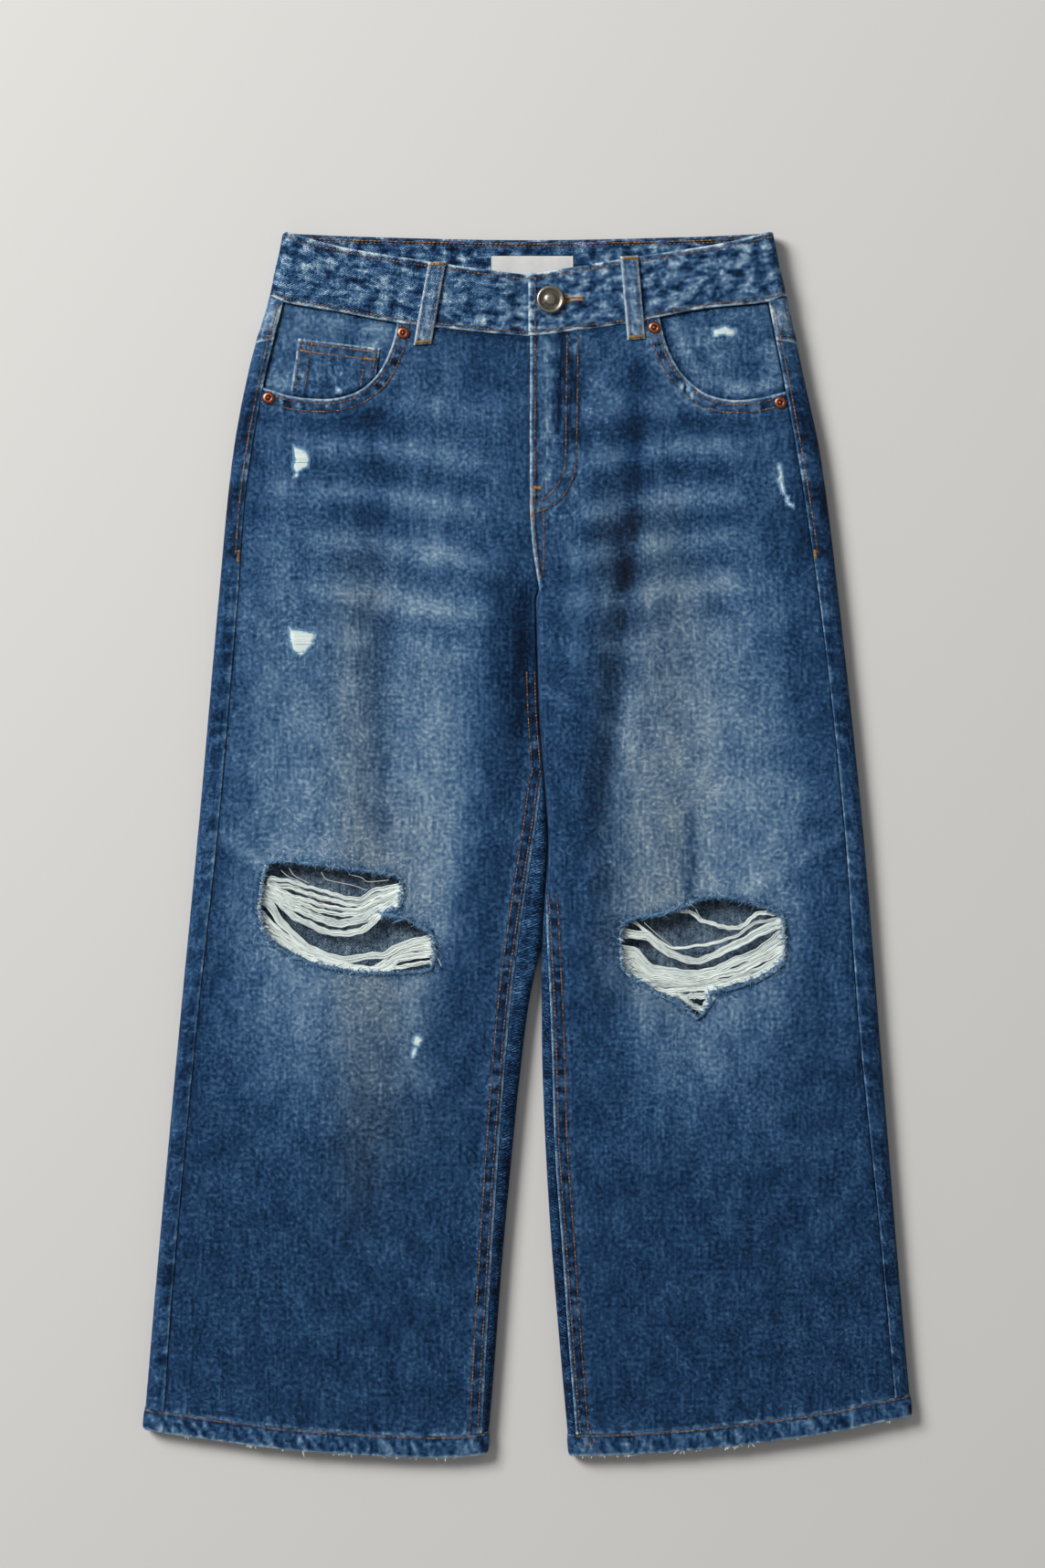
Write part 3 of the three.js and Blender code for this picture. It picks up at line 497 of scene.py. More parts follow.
class Nodes:
    """One procedural material in the making."""

    def __init__(self, name: str) -> None:
        """Starts an empty node tree.

        Args:
            name: the material's name.
        """
        self.material = bpy.data.materials.new(name)
        self.material.use_nodes = True
        self.tree = self.material.node_tree
        self.tree.nodes.clear()
        self.shader = self.add("ShaderNodeBsdfPrincipled")
        output = self.add("ShaderNodeOutputMaterial")
        self.tree.links.new(self.shader.outputs["BSDF"], output.inputs["Surface"])

    def add(self, kind: str, **settings: object) -> Node:
        """Adds a node.

        Args:
            kind: the node's type.
            settings: its own settings by name.

        Returns:
            The node.
        """
        node = self.tree.nodes.new(kind)
        for key, value in settings.items():
            setattr(node, key, value)
        return node

    def feed(self, socket: NodeSocket, value: object) -> None:
        """Links an output to a socket, or sets the socket to a plain value."""
        if isinstance(value, NodeSocket):
            self.tree.links.new(value, socket)
        else:
            socket.default_value = value

    def math(self, operation: str, *values: object) -> NodeSocket:
        """Output of a Math node on these values."""
        node = self.add("ShaderNodeMath", operation=operation)
        for socket, value in zip(node.inputs, values):
            self.feed(socket, value)
        return node.outputs[0]

    def total(self, *values: object) -> NodeSocket:
        """Sum of these values."""
        result = values[0]
        for value in values[1:]:
            result = self.math("ADD", result, value)
        return result

    def times(self, *values: object) -> NodeSocket:
        """Product of these values."""
        result = values[0]
        for value in values[1:]:
            result = self.math("MULTIPLY", result, value)
        return result

    def painted(self, name: str) -> NodeSocket:
        """A number painted on the piece's points."""
        return self.add("ShaderNodeAttribute", attribute_name=name).outputs["Fac"]

    def place(self, u: object, v: object, w: object = 0.0) -> NodeSocket:
        """Vector of three numbers."""
        node = self.add("ShaderNodeCombineXYZ")
        for socket, value in zip(node.inputs, (u, v, w)):
            self.feed(socket, value)
        return node.outputs[0]

    def cloth_place(self) -> tuple[NodeSocket, NodeSocket]:
        """Millimetres across and along the cloth, from the piece's grain map."""
        grain = self.add("ShaderNodeUVMap", uv_map="grain").outputs[0]
        parts = self.add("ShaderNodeSeparateXYZ")
        self.feed(parts.inputs[0], grain)
        return self.times(parts.outputs[0], 1 / MM), self.times(parts.outputs[1], 1 / MM)

    def object_place(self) -> NodeSocket:
        """Metres from the part's origin."""
        return self.add("ShaderNodeTexCoord").outputs["Object"]

    def edge_place(self) -> tuple[NodeSocket, NodeSocket]:
        """Millimetres that change along and across a cut edge whichever way it runs."""
        parts = self.add("ShaderNodeSeparateXYZ")
        self.feed(parts.inputs[0], self.object_place())
        x, y, z = (self.times(part, 1 / MM) for part in parts.outputs)
        return self.total(x, z), self.math("SUBTRACT", y, z)

    def noise(self, vector: object, scale: float, detail: float = 1.0) -> NodeSocket:
        """Noise about 0, mostly between -0.3 and 0.3.

        Args:
            vector: where to read it.
            scale: waves to the unit.
            detail: octaves.

        Returns:
            The noise.
        """
        node = self.add("ShaderNodeTexNoise")
        self.feed(node.inputs["Vector"], vector)
        node.inputs["Scale"].default_value = scale
        node.inputs["Detail"].default_value = detail
        return self.math("SUBTRACT", node.outputs["Fac"], 0.5)

    def ramp(self, at: object, stops: Stops) -> NodeSocket:
        """Colour between stops.

        Args:
            at: where on the ramp, 0 to 1.
            stops: positions with display colours.

        Returns:
            The colour.
        """
        node = self.add("ShaderNodeValToRGB")
        self.feed(node.inputs["Fac"], at)
        elements = node.color_ramp.elements
        while len(elements) < len(stops):
            elements.new(0.5)
        for element, (position, colour) in zip(elements, stops):
            element.position = position
            element.color = linear(colour)
        return node.outputs["Color"]

    def bump(self, height: object, strength: float, distance: float) -> None:
        """Gives the shader a fine relief, distance in millimetres."""
        node = self.add("ShaderNodeBump")
        node.inputs["Strength"].default_value = strength
        node.inputs["Distance"].default_value = distance * MM
        self.feed(node.inputs["Height"], height)
        self.feed(self.shader.inputs["Normal"], node.outputs["Normal"])

    def look(self, **values: object) -> None:
        """Sets or links the shader's inputs, named with _ for each space."""
        for key, value in values.items():
            self.feed(self.shader.inputs[key.replace("_", " ")], value)


# Sockets of a Mix node that mixes colours
MIX_A, MIX_B, MIX_RESULT = 6, 7, 2
# Washed indigo from raw dark to worn white, against the tone painted on the cloth
TONE_LOW, TONE_HIGH = -0.2, 1.4
INDIGO: Stops = (
    (-0.2, (2, 13, 31)), (0.0, (4, 25, 52)), (0.2, (13, 46, 83)), (0.4, (31, 71, 113)),
    (0.6, (60, 100, 140)), (0.8, (95, 129, 162)), (1.0, (143, 168, 188)),
    (1.2, (189, 207, 213)), (1.4, (217, 228, 228)),
)
WRONG_SIDE: Stops = (
    (-0.2, (8, 17, 28)), (0.2, (35, 54, 74)), (0.5, (74, 96, 117)), (0.8, (120, 138, 154)),
    (1.2, (188, 200, 204)),
)


@dataclass(frozen=True)
class Denim:
    """Washed twill. The tone painted on the cloth sets how pale it is, and wear how blotchy."""

    DUST: ClassVar[tuple[int, int]] = (17, -20)  # red and blue that the warm tint adds

    name: str
    stops: Stops = INDIGO
    shift: float = 0.0
    twill: float = 0.16
    salt: float = 1.9
    grit: float = 1.0
    slub: float = 0.5
    cloud: float = 0.5
    blotch: float = 1.9
    solid: bool = False

    def material(self) -> Material:
        """Builds the finish.

        Returns:
            The material.
        """
        made = Nodes(self.name)
        u, v = made.edge_place() if self.solid else made.cloth_place()
        spot = made.place(u, v)
        wobble = made.times(made.noise(spot, 0.12), 1.1)
        lines = made.total(made.times(u, 0.772), made.times(v, 0.595), wobble)
        twill = made.math("SINE", made.times(lines, TURN))
        salt = made.noise(made.place(made.times(u, 1.7), made.times(v, 1.15)), 1.0, 2.0)
        grit = made.noise(spot, 0.42, 2.0)
        slub = made.noise(made.place(made.times(u, 0.8), made.times(v, 0.05)), 1.0, 2.0)
        cloud = made.noise(made.place(u, made.times(v, 0.6)), 0.075, 2.0)
        blotch = made.noise(made.place(u, made.times(v, 0.5)), 0.27, 3.0)
        tone = made.total(
            made.painted("tone"),
            self.shift,
            made.times(twill, self.twill),
            made.times(salt, self.salt),
            made.times(grit, self.grit),
            made.times(slub, self.slub),
            made.times(cloud, self.cloud),
            made.times(blotch, self.blotch, made.painted("wear")),
        )
        span = TONE_HIGH - TONE_LOW
        at = made.times(made.math("SUBTRACT", tone, TONE_LOW), 1 / span)
        stops = [((tone_at - TONE_LOW) / span, colour) for tone_at, colour in self.stops]
        red, blue = self.DUST
        dusty = [(place, (r + red, g, b + blue)) for place, (r, g, b) in stops]
        tint = made.add("ShaderNodeMix", data_type="RGBA")
        made.feed(tint.inputs["Factor"], made.painted("warm"))
        made.feed(tint.inputs[MIX_A], made.ramp(at, stops))
        made.feed(tint.inputs[MIX_B], made.ramp(at, dusty))
        made.look(
            Base_Color=tint.outputs[MIX_RESULT],
            Roughness=made.total(0.88, made.times(salt, -0.25)),
            Specular_IOR_Level=0.16,
            Sheen_Weight=0.02,
            Sheen_Roughness=0.45,
        )
        made.bump(made.total(made.times(twill, 0.35), salt), 0.6, 0.25)
        return made.material


@dataclass(frozen=True)
class Yarn:
    """Spun thread. Each strand has its own tone, 0 to 1, between two display colours."""

    name: str
    dark: tuple[int, int, int]
    pale: tuple[int, int, int]
    roughness: float = 0.8

    def material(self) -> Material:
        """Builds the finish.

        Returns:
            The material.
        """
        made = Nodes(self.name)
        fuzz = made.noise(made.object_place(), 2600.0, 1.0)
        at = made.total(made.painted("tone"), made.times(fuzz, 0.7))
        made.look(
            Base_Color=made.ramp(at, [(0.0, self.dark), (1.0, self.pale)]),
            Roughness=made.total(self.roughness, made.times(fuzz, 0.2)),
            Specular_IOR_Level=0.3,
            Sheen_Weight=0.1,
            Sheen_Roughness=0.4,
        )
        made.bump(fuzz, 0.4, 0.1)
        return made.material


@dataclass(frozen=True)
class Metal:
    """Cast and tumbled metal, darker where it isn't rubbed."""

    name: str
    dull: tuple[int, int, int]
    bright: tuple[int, int, int]
    roughness: float

    def material(self) -> Material:
        """Builds the finish.

        Returns:
            The material.
        """
        made = Nodes(self.name)
        grain = made.noise(made.object_place(), 900.0, 3.0)
        rubbed = made.total(made.painted("tone"), made.times(grain, 0.9))
        made.look(
            Base_Color=made.ramp(rubbed, [(0.0, self.dull), (1.0, self.bright)]),
            Metallic=1.0,
            Roughness=made.total(self.roughness, made.times(grain, 0.25)),
        )
        made.bump(grain, 0.25, 0.15)
        return made.material


@dataclass(frozen=True)
class Ribbon:
    """Fine plain-woven tape or label."""

    name: str
    dark: tuple[int, int, int]
    pale: tuple[int, int, int]
    pitch: float

    def material(self) -> Material:
        """Builds the finish.

        Returns:
            The material.
        """
        made = Nodes(self.name)
        u, v = made.cloth_place()
        warp = made.math("SINE", made.times(u, TURN / self.pitch))
        weft = made.math("SINE", made.times(v, TURN / self.pitch))
        weave = made.times(warp, weft)
        soil = made.noise(made.place(u, v), 0.3, 2.0)
        at = made.total(0.6, made.times(weave, 0.25), made.times(soil, 0.5))
        made.look(
            Base_Color=made.ramp(at, [(0.0, self.dark), (1.0, self.pale)]),
            Roughness=made.total(0.7, made.times(soil, 0.2)),
            Specular_IOR_Level=0.3,
        )
        made.bump(weave, 0.3, 0.08)
        return made.material


@dataclass(frozen=True)
class Paper:
    """Pale matt floor."""

    name: str
    colour: tuple[int, int, int]

    def material(self) -> Material:
        """Builds the finish.

        Returns:
            The material.
        """
        made = Nodes(self.name)
        at = made.total(0.5, made.times(made.noise(made.object_place(), 2.0, 2.0), 0.5))
        low = tuple(c - 3 for c in self.colour)
        made.look(
            Base_Color=made.ramp(at, [(0.0, low), (1.0, self.colour)]),
            Roughness=0.95,
            Specular_IOR_Level=0.1,
        )
        return made.material


# ---- Meshes --------------------------------------------------------------------------------------


def points_of(mesh: Mesh) -> Array:
    """A mesh's points, one a row."""
    flat = np.zeros(len(mesh.vertices) * 3, np.float32)
    mesh.vertices.foreach_get("co", flat)
    return flat.reshape(-1, 3).astype(float)


def move_points(mesh: Mesh, points: Array) -> None:
    """Puts a mesh's points at these places in millimetres."""
    mesh.vertices.foreach_set("co", (points * MM).astype(np.float32).ravel())


def edit(mesh: Mesh) -> bmesh.types.BMesh:
    """A mesh open for editing."""
    work = bmesh.new()
    work.from_mesh(mesh)
    return work


def written(work: bmesh.types.BMesh, mesh: Mesh) -> Mesh:
    """The mesh with what was edited written back."""
    work.to_mesh(mesh)
    work.free()
    return mesh


def paint(mesh: Mesh, name: str, values: Array) -> None:
    """Stores one number a point."""
    layer = mesh.attributes.new(name, "FLOAT", "POINT")
    layer.data.foreach_set("value", np.ascontiguousarray(values, np.float32))


def add_object(
    name: str, mesh: Mesh, slot: Optional[Slot], replaced: Sequence[str] = ()
) -> Object:
    """Puts a finished mesh in the scene as a piece of the jeans.

    Args:
        name: the piece's name.
        mesh: its mesh, in metres.
        slot: the record's material slot; not used.
        replaced: the CAD nodes that it stands for.

    Returns:
        The piece.
    """
    piece = bpy.data.objects.new(name, mesh)
    bpy.context.scene.collection.objects.link(piece)
    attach(piece, "root")
    if replaced:
        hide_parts(*replaced)
    LOG.info("%s: %d faces", name, len(mesh.polygons))
    return piece


Shape = Callable[[Array, Array], tuple[Array, Array, Array]]


@dataclass
class Ply:
    """A sheet of cloth on a grid.

    shape gives points, grain and tone for columns and rows. The tone may be three numbers: tone,
    how blotchy the wash is and how warm its colour. wear is the second for plain tones.
    """

    name: str
    columns: Array
    rows: Array
    shape: Shape
    thickness: float = CLOTH
    faces_up: bool = True
    ring: bool = False
    hole: Optional[Array] = None
    wear: float = 0.3
    cut_edge: ClassVar[Optional[Material]] = None  # finish of the edges, shared by every sheet
    HOLE_DRAW: ClassVar[float] = 0.55  # how near a point moves onto the edge before the cut
    HOLE_SNAP: ClassVar[float] = 1.8  # and after it

    def build(
        self,
        slot: Slot,
        outside: Material,
        inside: Material,
        replaced: Sequence[str] = (),
    ) -> Object:
        """Makes the sheet with its thickness.

        Args:
            slot: the record's material slot.
            outside: finish of the face side.
            inside: finish of the wrong side.
            replaced: the CAD nodes that it stands for.

        Returns:
            The piece.
        """
        wide, tall = len(self.columns) - 1, len(self.rows) - 1
        work = bmesh.new()
        bmesh.ops.create_grid(work, x_segments=wide, y_segments=tall, size=0.5)
        mesh = written(work, bpy.data.meshes.new(self.name))
        at = points_of(mesh) + 0.5
        column = self.columns[np.rint(at[:, 0] * wide).astype(int)]
        row = self.rows[np.rint(at[:, 1] * tall).astype(int)]
        points, grain, tone = self.shape(column, row)
        if self.hole is not None:
            points = self._drawn_to(points)
        move_points(mesh, points)
        if tone.ndim == 1:
            tone = np.stack([tone, 0 * tone + self.wear, 0 * tone], 1)
        for name, values in zip(("tone", "wear", "warm"), tone.T):
            paint(mesh, name, values)
        corners = np.zeros(len(mesh.loops), np.int32)
        mesh.loops.foreach_get("vertex_index", corners)
        layer = mesh.uv_layers.new(name="grain")
        layer.uv.foreach_set("vector", (grain[corners] * MM).astype(np.float32).ravel())
        self._finish(mesh)
        for finish in (outside, inside, self.cut_edge):
            mesh.materials.append(finish)
        piece = add_object(self.name, mesh, slot, replaced)
        wall = piece.modifiers.new("thickness", "SOLIDIFY")
        wall.thickness = self.thickness * MM
        wall.offset = -1.0
        wall.material_offset = 1
        wall.material_offset_rim = 2
        return piece

    def _drawn_to(self, points: Array) -> Array:
        """The points, with those near the hole's edge moved onto it."""
        away, _, spot = nearest(self.hole, points[:, 0], points[:, 1])
        close = np.abs(away) < self.HOLE_DRAW
        points[close, :2] = spot[close]
        return points

    def _finish(self, mesh: Mesh) -> None:
        """Cuts the hole, joins a ring and turns the faces outwards."""
        work = edit(mesh)
        if self.hole is not None:
            centres = np.array([face.calc_center_median() for face in work.faces]) / MM
            gone = within(self.hole, centres[:, 0], centres[:, 1])
            faces = [face for face, cut in zip(work.faces, gone) if cut]
            bmesh.ops.delete(work, geom=faces, context="FACES")
            edge = [vert for vert in work.verts if vert.is_boundary]
            places = np.array([vert.co for vert in edge]) / MM
            away, _, spot = nearest(self.hole, places[:, 0], places[:, 1])
            for vert, gap, (x, y) in zip(edge, away, spot):
                if abs(gap) < self.HOLE_SNAP:
                    vert.co.x, vert.co.y = x * MM, y * MM
        if self.ring:
            bmesh.ops.remove_doubles(work, verts=work.verts, dist=0.002 * MM)
        work.normal_update()
        work.faces.ensure_lookup_table()
        if (work.faces[0].normal.z > 0) != self.faces_up:
            bmesh.ops.reverse_faces(work, faces=work.faces)
        written(work, mesh).shade_smooth()


class Tubes:
    """Joined mesh of many small threads, each a closed tube along its own path."""

    def __init__(self, sides: int, rings: int) -> None:
        """Makes the thread that is repeated.

        Args:
            sides: faces round a thread.
            rings: points along it.
        """
        work = bmesh.new()
        bmesh.ops.create_cone(
            work, cap_ends=True, cap_tris=False, segments=sides, radius1=0.5, radius2=0.5, depth=1
        )
        long = [e for e in work.edges if abs(e.verts[0].co.z - e.verts[1].co.z) > 0.5]
        if rings > 2:
            bmesh.ops.subdivide_edges(work, edges=long, cuts=rings - 2)
        self.template = written(work, bpy.data.meshes.new("thread"))
        at = points_of(self.template)
        self.ring = np.rint((at[:, 2] + 0.5) * (rings - 1)).astype(int)
        self.turn = np.arctan2(at[:, 1], at[:, 0])

    def build(
        self,
        name: str,
        paths: Array,
        ups: Array,
        radii: Array,
        tones: Array,
        material: Material,
        flat: float = 1.0,
        slot: Optional[Slot] = None,
        replaced: Sequence[str] = (),
    ) -> Object:
        """Makes the piece.

        Args:
            name: the piece's name.
            paths: a thread's points for each thread.
            ups: the way that each thread's upper side faces.
            radii: radius at each point of each thread.
            tones: one number a thread, for its colour.
            material: its finish.
            flat: height of a thread over its width.
            slot: the record's material slot, if it has one for the thread.
            replaced: the CAD nodes that it stands for.

        Returns:
            The piece.
        """
        step = np.gradient(paths, axis=1)
        step /= np.maximum(np.linalg.norm(step, axis=2), 1e-9)[:, :, None]
        side = np.cross(step, ups[:, None, :])
        side /= np.maximum(np.linalg.norm(side, axis=2), 1e-9)[:, :, None]
        lift = np.cross(side, step)
        wide = (radii[:, self.ring] * np.cos(self.turn))[:, :, None]
        tall = (radii[:, self.ring] * np.sin(self.turn) * flat)[:, :, None]
        points = paths[:, self.ring] + side[:, self.ring] * wide + lift[:, self.ring] * tall
        work = bmesh.new()
        for _ in range(len(paths)):
            work.from_mesh(self.template)
        mesh = written(work, bpy.data.meshes.new(name))
        move_points(mesh, points)
        paint(mesh, "tone", np.repeat(tones, len(self.ring)))
        work = edit(mesh)
        bmesh.ops.recalc_face_normals(work, faces=work.faces)
        written(work, mesh).shade_smooth()
        mesh.materials.append(material)
        return add_object(name, mesh, slot, replaced)


class Drape:
    """Finds the cloth's skin above or below points in the plane."""

    CLEAR = 0.1  # metres from the plane to where the search starts, well past the cloth

    def __init__(self, pieces: Sequence[Object], below: bool = False) -> None:
        """Joins the pieces' outer faces.

        Args:
            pieces: sheets before their thickness.
            below: look from underneath.
        """
        work = bmesh.new()
        for piece in pieces:
            work.from_mesh(piece.data)
        self.tree = BVHTree.FromBMesh(work)
        work.free()
        self.way = 1.0 if below else -1.0

    def on(self, line: Array) -> tuple[Array, Array]:
        """Puts plane points on the skin.

        Args:
            line: plane points, one a row.

        Returns:
            The points on the skin and the ways that it faces there; nan where there is none.
        """
        spots = np.full((len(line), 3), np.nan)
        faces = np.full((len(line), 3), np.nan)
        for i, (x, y) in enumerate(line):
            start = Vector((x * MM, y * MM, -self.way * self.CLEAR))
            hit, normal, _, _ = self.tree.ray_cast(start, Vector((0, 0, self.way)))
            if hit is not None:
                spots[i] = np.array(hit) / MM
                faces[i] = np.array(normal) * (1 if normal.z * self.way < 0 else -1)
        return spots, faces


@dataclass(frozen=True)
class StitchSize:
    """One kind of stitch."""

    length: float = 1.8
    space: float = 0.42
    radius: float = 0.4
    proud: float = 0.14


TOPSTITCH = StitchSize()
TACK = StitchSize(length=2.0, space=0.0, radius=0.26, proud=0.3)


class Stitches:
    """Collects stitches of one thread and makes them one piece."""

    def __init__(self, name: str, material: Material, seed: int) -> None:
        """Starts with no stitches.

        Args:
            name: the piece's name.
            material: the thread's finish.
            seed: which draw of unevenness.
        """
        self.name, self.material = name, material
        self.draw = np.random.default_rng(seed)
        self.tubes = Tubes(5, 4)
        self.starts: list[Array] = []
        self.ends: list[Array] = []
        self.ups: list[Array] = []
        self.sizes: list[tuple[float, float]] = []

    def keep(self, start: Array, end: Array, up: Array, size: StitchSize) -> None:
        """Adds stitches by their ends, leaving out those off the cloth."""
        whole = np.isfinite(start).all(1) & np.isfinite(end).all(1) & np.isfinite(up).all(1)
        self.starts.append(start[whole])
        self.ends.append(end[whole])
        self.ups.append(up[whole])
        self.sizes += [(size.radius, size.proud)] * int(whole.sum())

    def row(self, drape: Drape, line: Array, size: StitchSize = TOPSTITCH) -> None:
        """Sews along a plane line.

        Args:
            drape: the cloth.
            line: plane points of the line.
            size: the stitch.
        """
        pitch = size.length + size.space
        places = spaced(line, pitch)
        step = np.diff(places, axis=0)
        share = size.length / pitch
        slack = self.draw.uniform(-0.05, 0.05, (len(step), 1))
        starts, faces = drape.on(places[:-1] + step * slack)
        ends, _ = drape.on(places[:-1] + step * (share + slack))
        self.keep(starts, ends, faces, size)

    def path(self, points: Array, faces: Array, size: StitchSize = TOPSTITCH) -> None:
        """Sews along a line in space that lies on the cloth, with the ways that it faces."""
        pitch = size.length + size.space
        both = spaced(np.hstack([points, faces]), pitch)
        share = size.length / pitch
        ends = mix(both[:-1, :3], both[1:, :3], share)
        self.keep(both[:-1, :3], ends, both[:-1, 3:], size)

    def tack(self, drape: Drape, a: Sequence[float], b: Sequence[float], wide: float = 2.0) -> None:
        """Sews a close bar of short threads from a to b.

        Args:
            drape: the cloth.
            a: one end.
            b: the other end.
            wide: width of the bar.
        """
        middle = spaced(np.array([a, b], float), 0.42)
        step = np.subtract(b, a) / np.hypot(*np.subtract(b, a))
        across = np.array([-step[1], step[0]]) * wide / 2
        across = across * self.draw.uniform(0.8, 1.15, (len(middle), 1))
        starts, faces = drape.on(middle - across)
        ends, _ = drape.on(middle + across + step * 0.2)
        self.keep(starts, ends, faces, TACK)

    def build(self) -> Object:
        """Makes the piece.

        Returns:
            The piece.
        """
        start, end, up = (np.vstack(part) for part in (self.starts, self.ends, self.ups))
        radius, proud = np.array(self.sizes).T
        up = up / np.linalg.norm(up, axis=1)[:, None]
        shares = np.array([0.0, 0.25, 0.75, 1.0])
        rise = np.array([-0.8, 1.0, 1.0, -0.8])
        paths = mix(start[:, None, :], end[:, None, :], shares[None, :, None])
        paths = paths + up[:, None, :] * (proud[:, None] * rise)[:, :, None]
        radii = radius[:, None] * np.array([0.5, 1.0, 1.0, 0.5])
        tones = self.draw.uniform(0, 1, len(start))
        return self.tubes.build(self.name, paths, up, radii, tones, self.material, 0.8)


def laid(x: Array, y: Array, z: Array, tone: Array) -> tuple[Array, Array, Array]:
    """Points, grain and tone of cloth whose grain runs with X and Y."""
    return np.stack([x, y, z], 1), np.stack([x, y], 1), tone


# ---- Wash, painted shade and relief shared by the panels -----------------------------------------

# Distances from a seam at which the grid lines run close
SEAM_LINES = (0, 0.35, 0.8, 1.5, 2.2, 3.4, 4.8, 6.2, 7.1, 7.7, 8.4, 9.6, 11.2)


def stepped(length: float, step: float, fine_start: bool = True, fine_end: bool = True) -> Array:
    """Positions from 0 to length, close together at seams.

    Args:
        length: the whole length.
        step: usual spacing.
        fine_start: close together at 0.
        fine_end: close together at length.

    Returns:
        The positions.
    """
    fine = np.array(SEAM_LINES, float)
    low = fine if fine_start else fine[:1]
    high = length - (fine if fine_end else fine[:1])[::-1]
    count = max(int(round((high[0] - low[-1]) / step)), 1)
    return np.concatenate([low, np.linspace(low[-1], high[0], count + 1)[1:-1], high])


PUCKER_SHIFT = Ripple(11, 60, 9)


def puckers(along: Array, off: Array, wave: float = 8.5) -> Array:
    """Uneven small waves along a seam, -1 to 1."""
    drift = 1.7 * PUCKER_SHIFT(along, off * 0.6) + 0.12 * off
    rise = np.sin(TURN * along / wave + drift)
    return np.tanh(1.4 * rise) * (0.75 + 0.35 * PUCKER_SHIFT(along * 0.7 + 40, off))


def lapped_seam(off: Array, along: Array, ridge: float = 0.5) -> tuple[Array, Array]:
    """Relief and tone of a lapped seam with two rows of stitches beside its edge.

    Args:
        off: distance from the folded edge.
        along: length along the seam.
        ridge: height of the lap.

    Returns:
        Lift and change of tone.
    """
    wave = puckers(along, off)
    between = ease(1.6, 3.0, off) * ease(9.0, 7.6, off)
    rows = sum(hill(at, 0.6, off) for at in STITCH_ROWS)
    lift = ridge * ease(9.8, 8.2, off) + 0.17 * wave * between - 0.2 * rows
    lift = lift - 0.45 * ease(0.9, 0.0, off)
    tone = 0.55 * hill(0.3, 1.05, off) + 0.28 * wave * between - 0.28 * rows - 0.06 * between
    tone = tone + 0.1 * plateau(8.8, 11.0, 1.6, off) * (1 + 0.7 * wave)
    return lift, tone


# Tone along each leg: unworn cloth, the pale thigh and knee, and how far the pale part reaches
PLAIN = {
    "left": Curve((-375, 0.255), (-300, 0.235), (-180, 0.265), (0, 0.28), (120, 0.3), (200, 0.38),
                  (300, 0.4)),
    "right": Curve((-375, 0.255), (-300, 0.235), (-180, 0.27), (0, 0.26), (120, 0.26), (200, 0.36),
                   (300, 0.38)),
}
WORN = {
    "left": Curve((-375, 0.21), (-300, 0.225), (-220, 0.255), (-180, 0.345), (-140, 0.49),
                  (-100, 0.62), (-20, 0.71), (60, 0.69), (120, 0.62), (165, 0.56), (200, 0.45),
                  (300, 0.42)),
    "right": Curve((-375, 0.24), (-300, 0.235), (-220, 0.275), (-180, 0.35), (-140, 0.52),
                   (-100, 0.66), (-20, 0.7), (60, 0.66), (120, 0.6), (165, 0.54), (200, 0.46),
                   (300, 0.4)),
}
WORN_INNER = {
    "left": Curve((-200, 66), (-20, 56), (60, 56), (100, 60), (150, 63), (300, 64)),
    "right": Curve((-200, 60), (-100, 58), (-20, 40), (100, 33), (180, 26), (300, 20)),
}
WORN_OUTER = {
    "left": Curve((-200, 150), (-100, 160), (20, 170), (100, 154), (165, 153), (210, 142),
                  (300, 150)),
    "right": Curve((-200, 160), (-100, 177), (20, 181), (120, 178), (300, 172)),
}
# Folded line down the front of the left leg; painted shade darkens the cloth along it
CREASE = Curve((-20, 38), (60, 46), (120, 55), (180, 62), (210, 66), (285, 68))
# Worn lines across the hips: height of each crest beside the middle of the thigh, and strength
CRESTS = {
    "left": ((273, 0.7), (244, 1.0), (213, 1.0), (187, 0.9), (157, 0.8), (128, 0.25)),
    "right": ((271, 0.8), (241, 1.0), (212, 1.0), (181, 1.0), (149, 0.85), (122, 0.3)),
}


